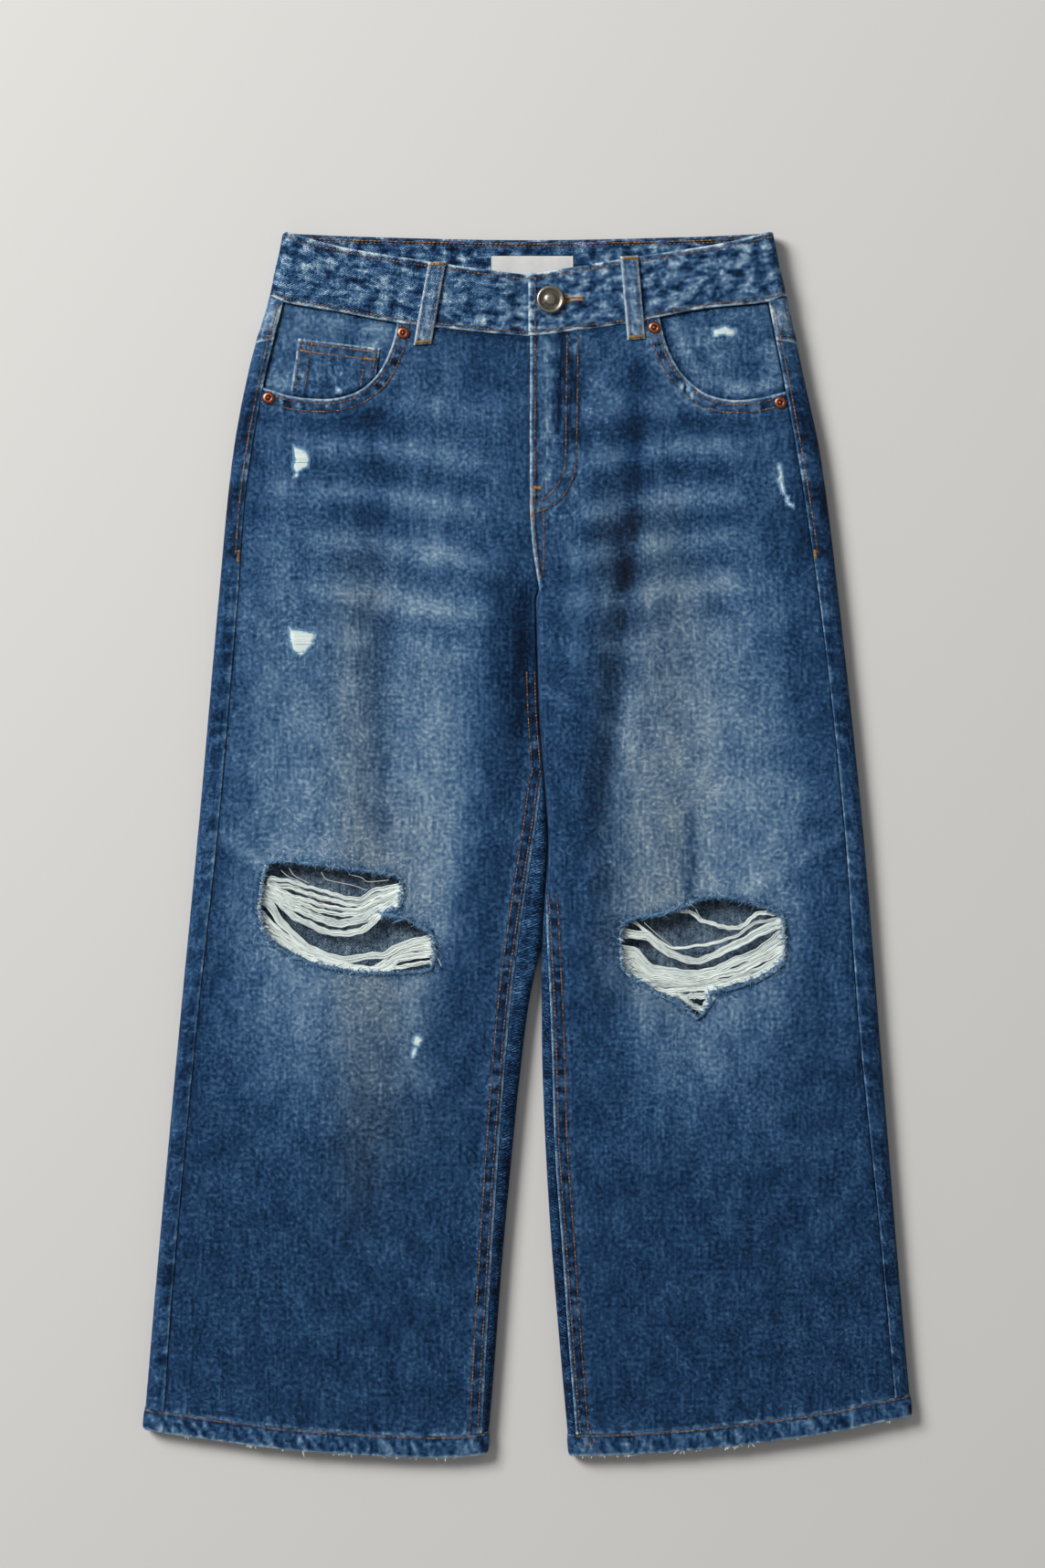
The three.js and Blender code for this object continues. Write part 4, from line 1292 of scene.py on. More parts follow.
def wash_and_shade(leg: Leg, x: Array, y: Array) -> Array:
    """Tone of a leg's face side from the wash, with painted shade in the troughs and valley.

    Args:
        leg: which leg.
        x: across.
        y: along.

    Returns:
        Tone, 0 dark indigo and 1 nearly white.
    """
    out = leg.sign * x
    inner, outer = WORN_INNER[leg.name](y), WORN_OUTER[leg.name](y)
    plain, worn = PLAIN[leg.name](y), WORN[leg.name](y)
    pale = ease(-14, 14, out - inner) * ease(26, -22, out - outer)
    tone = mix(plain, worn, pale)
    if leg.sign > 0:
        from_crease = x - CREASE(y)
        patches = (
            # Painted shade: these first three patches darken the crease and the trough near x 101
            (-0.34, hill(0, 6.5, from_crease), plateau(168, 288, 20, y)),
            (-0.12, hill(0, 8, from_crease), plateau(20, 170, 30, y)),
            (-0.22, hill(101, 4, x), plateau(-24, 12, 14, y)),
            (0.1, hill(0, 5, y - 96 + 0.45 * (x - 5)), plateau(10, 56, 10, x)),
            (0.1, hill(14, 8, from_crease), plateau(60, 190, 30, y)),
            (-0.14, hill(70, 7, x), plateau(105, 165, 15, y)),
            (0.08, hill(110, 16, x), plateau(30, 150, 25, y)),
            (0.15, hill(110, 14, x), hill(-132, 16, y)),
            (-0.34, hill(28, 6, x), plateau(254, 298, 12, y)),
            (0.18, hill(31, 7, x), hill(218, 9, y)),
            (0.15, hill(30, 9, x), plateau(120, 185, 20, y)),
            (-0.12, hill(153, 9, x), plateau(178, 205, 10, y)),
            (-0.2, hill(171, 8, x), plateau(172, 250, 12, y)),
            (0.13, hill(50, 7, x), plateau(125, 160, 12, y)),
            (0.07, hill(193, 9, x), plateau(-120, 130, 30, y)),
        )
    else:
        patches = (
            (0.09, hill(61, 18, out), plateau(-10, 200, 30, y)),
            (0.08, hill(57, 13, out), plateau(200, 260, 20, y)),
            (0.16, hill(152, 12, out), hill(222, 7, y)),
            (-0.1, hill(100, 16, out), hill(272, 9, y)),
            (-0.13, hill(96, 12, out), plateau(190, 280, 30, y)),
            # Painted shade in the trough near x -91, and painted shade with less-washed indigo in
            # the valley between the legs
            (-0.17, hill(91, 8, out), plateau(15, 125, 25, y)),
            (-0.32, hill(-3, 6, x), plateau(78, 150, 18, y)),
            (0.07, hill(-29, 8, x), plateau(15, 130, 25, y)),
            (-0.09, hill(170, 10, out), plateau(-90, 90, 30, y)),
            (-0.18, hill(171, 5, out), hill(241, 10, y)),
            (-0.16, hill(22, 18, out), plateau(288, 322, 10, y)),
            (-0.1, hill(171, 6, out), hill(200, 8, y)),
        )
    for amount, across, up in patches:
        tone = tone + amount * across * up
    slant = y + 13 - 0.62 * (out - 161)
    knee = hill(0, 5, slant) - 0.7 * hill(-13, 6, slant)
    tone = tone + 0.13 * knee * plateau(142, 196, 12, out)
    return tone + 0.19 * whiskers(leg, x, y)


def whiskers(leg: Leg, x: Array, y: Array) -> Array:
    """Worn lines across the hips, about -0.8 to 1."""
    out = leg.sign * x
    middle, lean = (85, 0.09) if leg.sign > 0 else (55, 0.1)
    drift = 2.0 * np.sin(out / 21.0 + y / 60.0)
    total = np.zeros(np.shape(y))
    for height, size in CRESTS[leg.name]:
        off = y - height - lean * (out - middle) - drift
        total = total + size * (hill(0, 6.5, off) - 0.75 * hill(-14.5, 8, off))
    return total * ease(12, 40, out) * ease(150, 118, out)


@dataclass(frozen=True)
class Scuff:
    """Small spot worn through to the white weft. Corners are from its middle."""

    x: float
    y: float
    corners: tuple[tuple[float, float], ...]

    def outline(self) -> Array:
        """The spot's closed outline."""
        return np.array([*self.corners, self.corners[0]], float) + (self.x, self.y)

    def amount(self, x: Array, y: Array) -> Array:
        """How far the cloth has worn at each point, 0 to 1."""
        away, _, _ = nearest(self.outline(), x, y)
        inside = within(self.outline(), x, y)
        return ease(1.6, -0.4, np.where(inside, -1, 1) * np.abs(away))


SCUFFS = {
    "right": (
        Scuff(-142, 238.5, (
            (-3.5, 9.8), (-1.9, 8.2), (1.6, 7.3), (4.5, 6), (5.8, 4.1), (6.9, 0.3), (6, -3.5),
            (3.2, -4.7), (0.6, -6.3), (-0.8, -7.3), (0, -9.2), (-0.9, -10.4), (-3.2, -10.4),
            (-1.6, -7), (-3.5, -4.7), (-3.8, -2.2), (-2.2, 0), (-3.2, 2.8), (-3.2, 5.7),
        )),
        Scuff(-141.5, 128.5, (
            (-6.8, 6.9), (-4.7, 5.2), (0.4, 4.6), (4.9, 3.7), (9.3, 2.8), (10.9, 2.9),
            (10.4, 0.4), (8.5, -1.8), (9.3, -3.7), (7.1, -5.3), (4.9, -7.4), (1.9, -10.7),
            (0.4, -11.1), (-3.2, -8.8), (-5.1, -5.9), (-6.2, -2.2), (-6.6, 1.5),
        )),
        Scuff(-69.5, -124.5, (
            (-0.6, 5.5), (2, 5.9), (4.6, 2.9), (2.4, 1.1), (3.1, -0.4), (0.1, -0.7), (-2.4, 1.8),
        )),
        Scuff(-69.5, -124.5, (
            (-1, -1.1), (0.9, -1.8), (0.5, -5.2), (-1.3, -8.1), (-2.9, -7.7), (-2.4, -3.7),
        )),
    ),
    "left": (
        Scuff(155.5, 231, (
            (0.6, 5.6), (1.6, 4.7), (2.2, 1.5), (3.2, -1.6), (2.8, -4.8), (0.6, -6.1),
            (-0.8, -4.8), (0.6, -2.3), (0.9, 0.9), (-0.6, 3.4),
        )),
        Scuff(158, 223, (
            (-1.9, 3), (0.2, 3.5), (0.9, 1.5), (1.5, -2.3), (2.1, -4.9), (0.5, -5.5), (-0.7, -2.3),
        )),
        Scuff(161, 214, (
            (-0.9, 2.9), (1.6, 1.6), (1, -0.9), (4.2, -2.8), (4.2, -4.4), (0.4, -2.8), (-0.6, 0.4),
        )),
        Scuff(100, 283.6, ((-0.7, 1.6), (0.8, 1.2), (0.9, -1.4), (-0.6, -1.7))),
        Scuff(95.6, 284, ((-0.6, 1.3), (0.7, 1.5), (0.6, -1.4), (-0.8, -1.2))),
        Scuff(101.9, 279, ((-0.6, 1.8), (0.6, 1.4), (0.7, -1.8), (-0.5, -1.5))),
    ),
    "facing": (
        Scuff(121.5, 319.5, (
            (-6.6, 0.7), (-3.8, 0.7), (-0.9, 1.8), (1.3, 2.5), (4.3, 1), (8, 0.7), (8.3, -1.9),
            (6.5, -3.8), (2.8, -3.4), (-0.1, -2.3), (-3.8, -4.1), (-6.4, -3.8),
        )),
    ),
    "coin": (Scuff(-117.2, 281.9, ((-1.5, 0.9), (0.4, 1.3), (1.6, 0.6), (1.2, -1), (-1.3, -1))),),
}
FLY_OUTER = smooth_line([
    (31.5, 318.5), (30.9, 275), (30.3, 241), (28.6, 229.6), (22.4, 216.6), (12.8, 209.2),
    (3.1, 205.8),
])
FLY_INNER = smooth_line([
    (24.7, 317.5), (24.1, 275), (23.5, 238.1), (19.6, 225.1), (11.6, 215.5), (3.7, 213.2),
])


@dataclass
class Front:
    """Front of one leg, with its pocket mouth and its knee rip."""

    leg: Leg

    CREST = 336.0
    WIDTH = 190.0

    def __post_init__(self) -> None:
        """Draws the top edge: along the waistband and down round the pocket mouth."""
        leg, way = self.leg, self.leg.sign
        mouth = MOUTHS[leg.name]
        mouth = mouth[mouth[:, 1] < BAND_BOTTOM_FRONT(mouth[:, 0]) - 0.15]
        mouth = mouth[way * mouth[:, 0] < way * leg.outseam(mouth[:, 1]) - 0.2]
        across = np.linspace(float(CENTRE_FRONT(316)) + way * GAP / 2, mouth[0, 0], 80)
        waist = np.stack([across, BAND_BOTTOM_FRONT(across) - 0.15], axis=1)
        end_y = mouth[-1, 1] + 0.1
        end = [[float(leg.outseam(end_y)) - way * GAP / 2, end_y]]
        self.mouth = np.vstack([mouth, end])
        self.crest = spaced(np.vstack([waist[:-1], self.mouth]), 0.4)
        self.uneven = Ripple(21 + leg.sign, 150, 42, 1.6)
        self.small = Ripple(31 + leg.sign, 26, 9)

    def shape(self, t: Array, v: Array) -> tuple[Array, Array, Array]:
        """Points, grain and tone at shares across and nominal rows."""
        leg = self.leg
        y = v
        for _ in range(2):
            x, _, _ = leg.front(t, y)
            y = leg.hem_row(v, x)
        x, z, outer_off = leg.front(t, y)
        inner_off = leg.front(np.zeros(t.shape), y)[2] - outer_off
        u = leg.outseam(y) - leg.sign * outer_off
        share = np.clip((v - STRAIGHT) / (self.CREST - STRAIGHT), 0, 1)
        low_x, _, _ = leg.front(t, np.full(t.shape, STRAIGHT))
        at = t * (len(self.crest) - 1)
        crest_x = np.interp(at, np.arange(len(self.crest)), self.crest[:, 0])
        crest_y = np.interp(at, np.arange(len(self.crest)), self.crest[:, 1])
        high = share > 0
        x = np.where(high, mix(low_x, crest_x, share), x)
        y = np.where(high, mix(STRAIGHT, crest_y, share), y)
        z = np.where(high, leg.top(x, y), z)
        u = np.where(high, x, u)
        inner_off = np.where(high, leg.sign * (x - CENTRE_FRONT(y)), inner_off)
        outer_off = np.where(high, leg.sign * (leg.outseam(y) - x), outer_off)
        lift, tone, wear = self.relief(x, y, inner_off, outer_off)
        out = leg.sign * x
        if leg.sign > 0:
            warm = 0.42 * plateau(50, 88, 18, x) * plateau(-70, 190, 50, y)
            warm = warm + 0.3 * hill(105, 14, x) * plateau(-60, 160, 30, y)
        else:
            warm = 0.5 * hill(103, 19, out) * plateau(-190, 150, 70, y)
            warm = warm + 0.25 * hill(80, 24, out) * plateau(-170, 10, 40, y)
        tones = np.stack([tone, wear, warm], 1)
        return np.stack([x, y, z + lift], 1), np.stack([u, y], 1), tones

    def relief(
        self, x: Array, y: Array, inner: Array, outer: Array
    ) -> tuple[Array, Array, Array]:
        """Lift, tone and blotchiness of the cloth, with painted shade under the band, along the fly
        and in the outseam groove.

        Args:
            x: across.
            y: along.
            inner: distance from the inner edge.
            outer: distance from the outseam.

        Returns:
            Lift, tone and blotchiness.
        """
        leg = self.leg
        tone = wash_and_shade(leg, x, y)
        wear = 0.1 + 0 * x
        calm = ease(0, 9, outer) * ease(2, 14, inner)
        lift = (0.28 * self.uneven(x, y) + 0.05 * self.small(x, y)) * calm
        lift = lift + 0.2 * whiskers(leg, x, y) * calm
        closed = ease(112, 104, y) if leg.sign < 0 else ease(-26, -36, y)
        seam_lift, seam_tone = lapped_seam(inner, y + 300)
        lift, tone = lift + seam_lift * closed, tone + seam_tone * closed
        wear = wear + 0.3 * ease(13, 8, inner) * closed
        away, along, _ = nearest(self.mouth, x, y)
        rim = np.abs(away)
        rim_lift, rim_tone = lapped_seam(rim, along, 0.6)
        lift, tone = lift + rim_lift * ease(20, 14, rim), tone + rim_tone * ease(20, 14, rim)
        tone = tone - 0.1 * plateau(11, 20, 5, rim) * ease(290, 278, y)
        wear = wear + 0.3 * ease(14, 8, rim)
        # Painted shade in the groove at the outseam, with small puckers
        tone = tone - 0.1 * hill(0, 2.2, outer) + 0.05 * puckers(y, outer, 11) * ease(12, 2, outer)
        lift = lift - 0.15 * ease(3, 0, outer) + 0.07 * puckers(y, outer, 11) * hill(4, 4, outer)
        above = y - leg.hem(x) - HEM_DEPTH
        wave = puckers(x + 500, above, 10)
        tone = tone + (0.3 + 0.15 * wave) * hill(0.9, 1.2, above) + 0.07 * wave * ease(16, 3, above)
        wear = wear + 0.4 * ease(9, 2, above)
        lift = lift + 0.12 * wave * ease(9, 1, above)
        below = BAND_BOTTOM_FRONT(x) - y
        # Painted shadow just under the band's lower edge, with small puckers
        tone = tone - 0.16 * ease(6, 1, below) + 0.06 * puckers(x, below, 12) * ease(14, 3, below)
        lift = lift + 0.1 * puckers(x, below, 12) * ease(12, 2, below)
        if leg.sign > 0:
            fly_lift, fly_tone = self.fly(x, y, inner)
            lift, tone = lift + fly_lift, tone + fly_tone
            wear = wear + 0.45 * plateau(-3, 30, 5, x) * ease(198, 210, y)
        else:
            # Painted shade along the right front's inner edge, beside the raised left front at the
            # fly
            tone = tone - 0.1 * ease(5, 0, inner) * ease(150, 170, y)
        for scuff in SCUFFS[leg.name]:
            worn = scuff.amount(x, y)
            tone = tone - 0.2 * worn
            lift = lift - 0.3 * worn
        rip_away, rip_along, _ = nearest(np.vstack([RIPS[leg.name], RIPS[leg.name][:1]]), x, y)
        near_rip = np.abs(rip_away)
        tone = tone - 0.1 * ease(6, 1, near_rip) + 0.05 * plateau(6, 14, 6, near_rip)
        lift = lift + 0.5 * ease(7, 0, near_rip) * (0.6 + 0.4 * puckers(rip_along, near_rip, 16))
        return lift, tone, wear + 0.2 * ease(8, 2, near_rip)

    @staticmethod
    def fly(x: Array, y: Array, inner: Array) -> tuple[Array, Array]:
        """Lift and tone of the fly on the left front, with painted shade in its groove."""
        outer_off, outer_along, _ = nearest(FLY_OUTER, x, y)
        inside = ease(0.8, -0.8, outer_off) * ease(204, 208, y)
        inner_off, _, _ = nearest(FLY_INNER, x, y)
        wave = puckers(outer_along, outer_off, 9.5)
        band = ease(8.8, 7.2, np.abs(outer_off)) * (inside > 0.3)
        rows = hill(0, 0.7, outer_off) + hill(0, 0.7, inner_off)
        edge = ease(150, 165, y)
        wave_edge = puckers(y, inner, 9)
        lift = 0.35 * inside + 0.13 * wave * band - 0.22 * rows * ease(204, 208, y)
        lift = lift + edge * (0.3 * ease(9, 7.5, inner) - 0.3 * hill(4.4, 0.8, inner))
        lift = lift - edge * 0.5 * ease(0.9, 0, inner) + 0.12 * edge * wave_edge * ease(9, 2, inner)
        groove = hill(0, 1.9, x - 22.3 + 0.065 * (316 - y)) * plateau(258, 318, 6, y)
        lift = lift - 0.9 * groove + 0.4 * hill(13.5, 2.4, x) * plateau(265, 314, 10, y)
        tone = 0.55 * hill(0.6, 1.2, inner) * edge - 0.3 * hill(3.4, 0.8, inner) * edge
        tone = tone + 0.09 * edge * wave_edge * ease(9, 2, inner) + 0.14 * wave * band
        # Dark stitch rows, and painted shade in the groove
        tone = tone - 0.26 * rows * ease(204, 208, y) - 0.42 * groove
        tone = tone + 0.24 * hill(12, 3.6, x) * plateau(212, 314, 10, y)
        tone = tone + 0.1 * plateau(-3.2, -1.2, 1.0, outer_off) * ease(204, 208, y)
        ridge = 293 - 0.7 * (x - 35)
        slant = hill(0, 3.2, y - ridge) * plateau(34, 56, 6, x)
        ridge_low = 271 - 0.55 * (x - 35)
        slant = slant + 0.7 * hill(0, 3.0, y - ridge_low) * plateau(33, 50, 6, x)
        return lift + 0.5 * slant, tone + 0.14 * slant

    def build(self, denim: Material, lining: Material) -> Object:
        """Makes the panel."""
        leg = self.leg
        columns = stepped(self.WIDTH, 1.85, True, False) / self.WIDTH
        columns = np.unique(np.append(columns, 1 - np.array([0.6, 1.4, 2.6]) / self.WIDTH))
        low = np.concatenate([
            -362 + np.array([0, 0.7, 1.5, 2.4, 3.6]), np.linspace(-357, STRAIGHT, 320),
        ])
        top = 60.0 - np.array(SEAM_LINES)[::-1]
        top = np.concatenate([np.linspace(0, top[0], 26)[1:-1], top]) / 60.0
        rows = np.concatenate([low, STRAIGHT + (self.CREST - STRAIGHT) * top])
        rip = RIPS[leg.name]
        outline = smooth_line([*rip, rip[0]], 2.0)
        rough = Ripple(41 + leg.sign, 12, 3)
        outline = outline + 0.3 * np.stack(
            [rough(outline[:, 0], outline[:, 1]), rough(outline[:, 1], outline[:, 0])], 1
        )
        piece = Ply(f"front_{leg.name}_cloth", columns, rows, self.shape, hole=outline).build(
            Slot.DENIM, denim, lining, [f"front_{leg.name}"]
        )
        return piece


@dataclass
class Back:
    """Back of one leg, from the outseam round the side and underneath to the inseam."""

    leg: Leg

    TURN_FLAT = 9.0
    YOKE_SIDE = 313.0
    YOKE_CENTRE = 287.0
    ROWS_UP = 50.0  # nominal height of the rows from there to the yoke
    # One unit of q for each part: strip on top, outer side, underneath, inner side
    COLUMNS = np.concatenate([
        np.array([0, 0.07, 0.16, 0.3, 0.48, 0.66, 0.83]), 1 + np.linspace(0, 1, 15)[:-1],
        2 + np.linspace(0, 1, 44)[:-1], 3 + np.linspace(0, 1, 17),
    ])

    def __post_init__(self) -> None:
        """Measures the share of the cross-section at each column where the yoke is sewn on."""
        x, z, _, _ = self.section(self.COLUMNS, np.full(len(self.COLUMNS), 300.0))
        steps = np.hypot(np.diff(x), np.diff(z))
        self.share = np.concatenate([[0], np.cumsum(steps)]) / steps.sum()
        self.width = float(steps.sum())
        self.uneven = Ripple(51 + self.leg.sign, 130, 30, 1.5)

    def section(self, q: Array, y: Array) -> tuple[Array, Array, Array, Array]:
        """Cross-section of the outer face.

        Args:
            q: place round the leg.
            y: along the leg.

        Returns:
            X, Z and the way that the face looks, across and up.
        """
        leg, way = self.leg, self.leg.sign
        start = leg.outseam(y) + way * GAP / 2
        root = leg.outer(y) - way * SIDE_REACH
        strip_x = mix(start, root, np.clip(q, 0, 1))
        x, z = strip_x, leg.top(strip_x, y)
        turn = math.pi * (0.5 - np.clip(q - 1, 0, 1))
        side_x, side_z = leg.side(y, False, turn)
        x, z = np.where(q > 1, side_x, x), np.where(q > 1, side_z, z)
        near = np.minimum(y, CROTCH_HIGH)
        opened = ease(CROTCH_LOW, CROTCH_HIGH, y)
        reach = leg.reach(near)
        round_turn = leg.inner(near) + way * (reach + self.TURN_FLAT)
        flat_turn = CENTRE_BACK(y) + way * (GAP / 2 + self.TURN_FLAT)
        under_x = mix(root, mix(round_turn, flat_turn, opened), np.clip(q - 2, 0, 1))
        x, z = np.where(q > 2, under_x, x), np.where(q > 2, rest_height(y), z)
        share = np.clip(q - 3, 0, 1)
        quarter = reach * math.pi / 2
        length = (self.TURN_FLAT + quarter + leg.inseam_length(near) - GAP / 2) * share
        over_x, over_z = leg.over(near, np.maximum(length - self.TURN_FLAT - quarter, -quarter))
        turned = length > self.TURN_FLAT
        round_x = np.where(turned, over_x, round_turn - way * length)
        round_z = np.where(turned, over_z, rest_height(near))
        end_x = mix(round_x, flat_turn - way * self.TURN_FLAT * share, opened)
        end_z = mix(round_z, rest_height(y), opened)
        x, z = np.where(q > 3, end_x, x), np.where(q > 3, end_z, z)
        face_x = np.where((q > 1) & (q < 2), way * np.cos(turn), 0)
        face_z = np.where(q <= 1, 1, np.where(q < 2, np.sin(turn), -1))
        inner_turn = np.where(q > 3, ease(0.3, 0.6, share), 0)
        return x, z, mix(face_x, 0, inner_turn), mix(face_z, 0, inner_turn)

    def relief(self, q: Array, x: Array, y: Array) -> tuple[Array, Array]:
        """Lift and tone of the cloth at places round the leg."""
        leg = self.leg
        share = np.interp(q, self.COLUMNS, self.share)
        off = share * self.width
        strip = ease(16, 11, off) * (q < 2)
        wave = puckers(y + 150, off, 9)
        lift = (0.75 * ease(9.5, 7, off) + 0.16 * wave - 0.4 * ease(0.8, 0, off)) * strip
        under = ease(2.05, 2.2, q) * ease(3.0, 2.85, q)
        folds = np.maximum(self.uneven(x, y), -0.2) * 0.7
        if leg.sign < 0:
            folds = folds * (1 - 0.9 * plateau(-40, 20, 15, x) * plateau(0, 180, 20, y))
        lift = lift - folds * under
        strip_tone = 0.27 - 0.02 * ease(-150, 0, y) - 0.06 * plateau(190, 260, 15, y)
        rungs = puckers(y + 150, off, 14)
        strip_tone = strip_tone + 0.42 * hill(0.2, 0.9, off) + 0.24 * rungs * ease(12, 2, off)
        patches = np.maximum(np.sin(y / 9.5 + 2.2 * np.sin(y / 31.0)), -0.3) * ease(170, 215, y)
        strip_tone = strip_tone + 0.26 * patches + 0.16 * ease(262, 300, y)
        strip_tone = strip_tone - 0.1 * plateau(180, 262, 8, y) + 0.08 * plateau(-50, 50, 20, y)
        seat = 0.3 + 0.2 * hill(215, 70, y) + 0.15 * hill(20, 120, y) - 0.08 * ease(-150, -250, y)
        inner_off = (1 - share) * self.width
        seam = ease(12, 9, inner_off)
        tone = np.where(q < 2, strip_tone, seat - 0.1 * seam + 0.04 * wave * seam)
        return lift, tone

    def grain(self, q: Array, y: Array) -> Array:
        """Place on the flat cloth."""
        return np.stack([np.interp(q, self.COLUMNS, self.share) * self.width, y], 1)

    def shape(self, q: Array, v: Array) -> tuple[Array, Array, Array]:
        """Points, grain and tone at places round the leg and nominal rows."""
        leg = self.leg
        seam = mix(self.YOKE_SIDE, self.YOKE_CENTRE, np.interp(q, self.COLUMNS, self.share))
        y = v
        for _ in range(2):
            x, _, _, _ = self.section(q, y)
            y = leg.hem_row(v, x)
            share = (v - STRAIGHT) / self.ROWS_UP
            y = np.where(v > STRAIGHT, mix(STRAIGHT, seam - GAP / 2, share), y)
        x, z, face_x, face_z = self.section(q, y)
        lift, tone = self.relief(q, x, y)
        under_yoke = seam - y
        tone = tone - 0.12 * ease(5, 0.5, under_yoke)
        above = y - leg.hem(x) - HEM_DEPTH
        tone = tone + 0.12 * hill(1.8, 2.2, above)
        points = np.stack([x + lift * face_x, y, np.maximum(z + lift * face_z, LEAST_HEIGHT)], 1)
        return points, self.grain(q, y), tone

    def yoke_shape(self, q: Array, v: Array) -> tuple[Array, Array, Array]:
        """Points, grain and tone of the yoke, v from its seam to the waistband."""
        seam = mix(self.YOKE_SIDE, self.YOKE_CENTRE, np.interp(q, self.COLUMNS, self.share))
        y = np.full(q.shape, self.YOKE_SIDE)
        for _ in range(3):
            x, z, face_x, face_z = self.section(q, y)
            waist = mix(band_bottom_back(x), BAND_BOTTOM_FRONT(x), ease(3, 11, z)) - GAP / 2
            y = mix(seam + GAP / 2, waist, v)
        lift, tone = self.relief(q, x, y)
        off = y - seam
        seam_lift, seam_tone = lapped_seam(off, q * 60, 0.35)
        lift = lift + seam_lift * 0.8
        # Painted shadow on the yoke just under the band, on its top and outer side
        tone = tone + 0.06 + seam_tone - 0.2 * ease(5, 1, waist - y) * (q < 2)
        points = np.stack([x + lift * face_x, y, np.maximum(z + lift * face_z, LEAST_HEIGHT)], 1)
        return points, self.grain(q, y), tone

    def build(self, denim: Material, lining: Material) -> list[Object]:
        """Makes the back and its yoke."""
        leg = self.leg
        rows = np.concatenate([
            -362 + np.array([0, 0.8, 1.8, 3.2]), np.linspace(-356, STRAIGHT, 208),
            STRAIGHT + np.linspace(0, self.ROWS_UP, 21)[1:],
        ])
        back = Ply(f"back_{leg.name}_cloth", self.COLUMNS, rows, self.shape).build(
            Slot.DENIM, denim, lining, [f"back_{leg.name}"]
        )
        share = np.array([0, 0.02, 0.05, 0.1, 0.2, 0.3, 0.42, 0.5, 0.56, 0.64, 0.76, 0.88, 0.97, 1])
        yoke = Ply(f"yoke_{leg.name}_cloth", self.COLUMNS, share, self.yoke_shape).build(
            Slot.DENIM, denim, lining, [f"yoke_{leg.name}"]
        )
        return [back, yoke]


@dataclass
class PatchPocket:
    """Pointed pocket on the seat, its face side down."""

    name: str
    x: float
    y: float
    half: float = 56.0
    taper: float = 5.0
    top: float = 62.0
    corner: float = -42.0
    point: float = -62.0

    def outline(self, inset: float) -> Array:
        """Sewn line inset from the sides and the point, from one top corner to the other."""
        side, low = self.half - inset, self.point + inset * 1.1
        foot, corner = self.half - self.taper - inset, self.corner + inset * 0.5
        high = self.top - 1
        line = [(-side, high), (-foot, corner), (0, low), (foot, corner), (side, high)]
        return np.array(line, float) + (self.x, self.y)

    def shape(self, u: Array, v: Array) -> tuple[Array, Array, Array]:
        """Points, grain and tone, u and v in millimetres from the left foot and the lower edge."""
        share = v / (self.top - self.corner)
        side = u / self.half - 1
        dx = side * mix(self.half - self.taper, self.half, share)
        low = mix(self.point, self.corner, np.abs(side))
        dy = mix(low, self.top, share)
        edge = np.minimum(self.half - np.abs(side * self.half), self.top - dy)
        edge = np.minimum(edge, dy - low)
        _, tone = lapped_seam(edge, dx + dy)
        z = 0.25 * ease(1.2, 0, edge) + 0.3 * (hill(1.5, 0.7, edge) + hill(7.6, 0.7, edge))
        x, y = self.x + dx, self.y + dy
        return laid(x, y, z, 0.42 + tone)

    def build(self, denim: Material, lining: Material) -> Object:
        """Makes the pocket."""
        piece = Ply(
            f"{self.name}_cloth", stepped(2 * self.half, 3.0),
            stepped(self.top - self.corner, 3.0), self.shape, 1.0, False,
        ).build(Slot.DENIM, denim, lining, [self.name])
        return piece


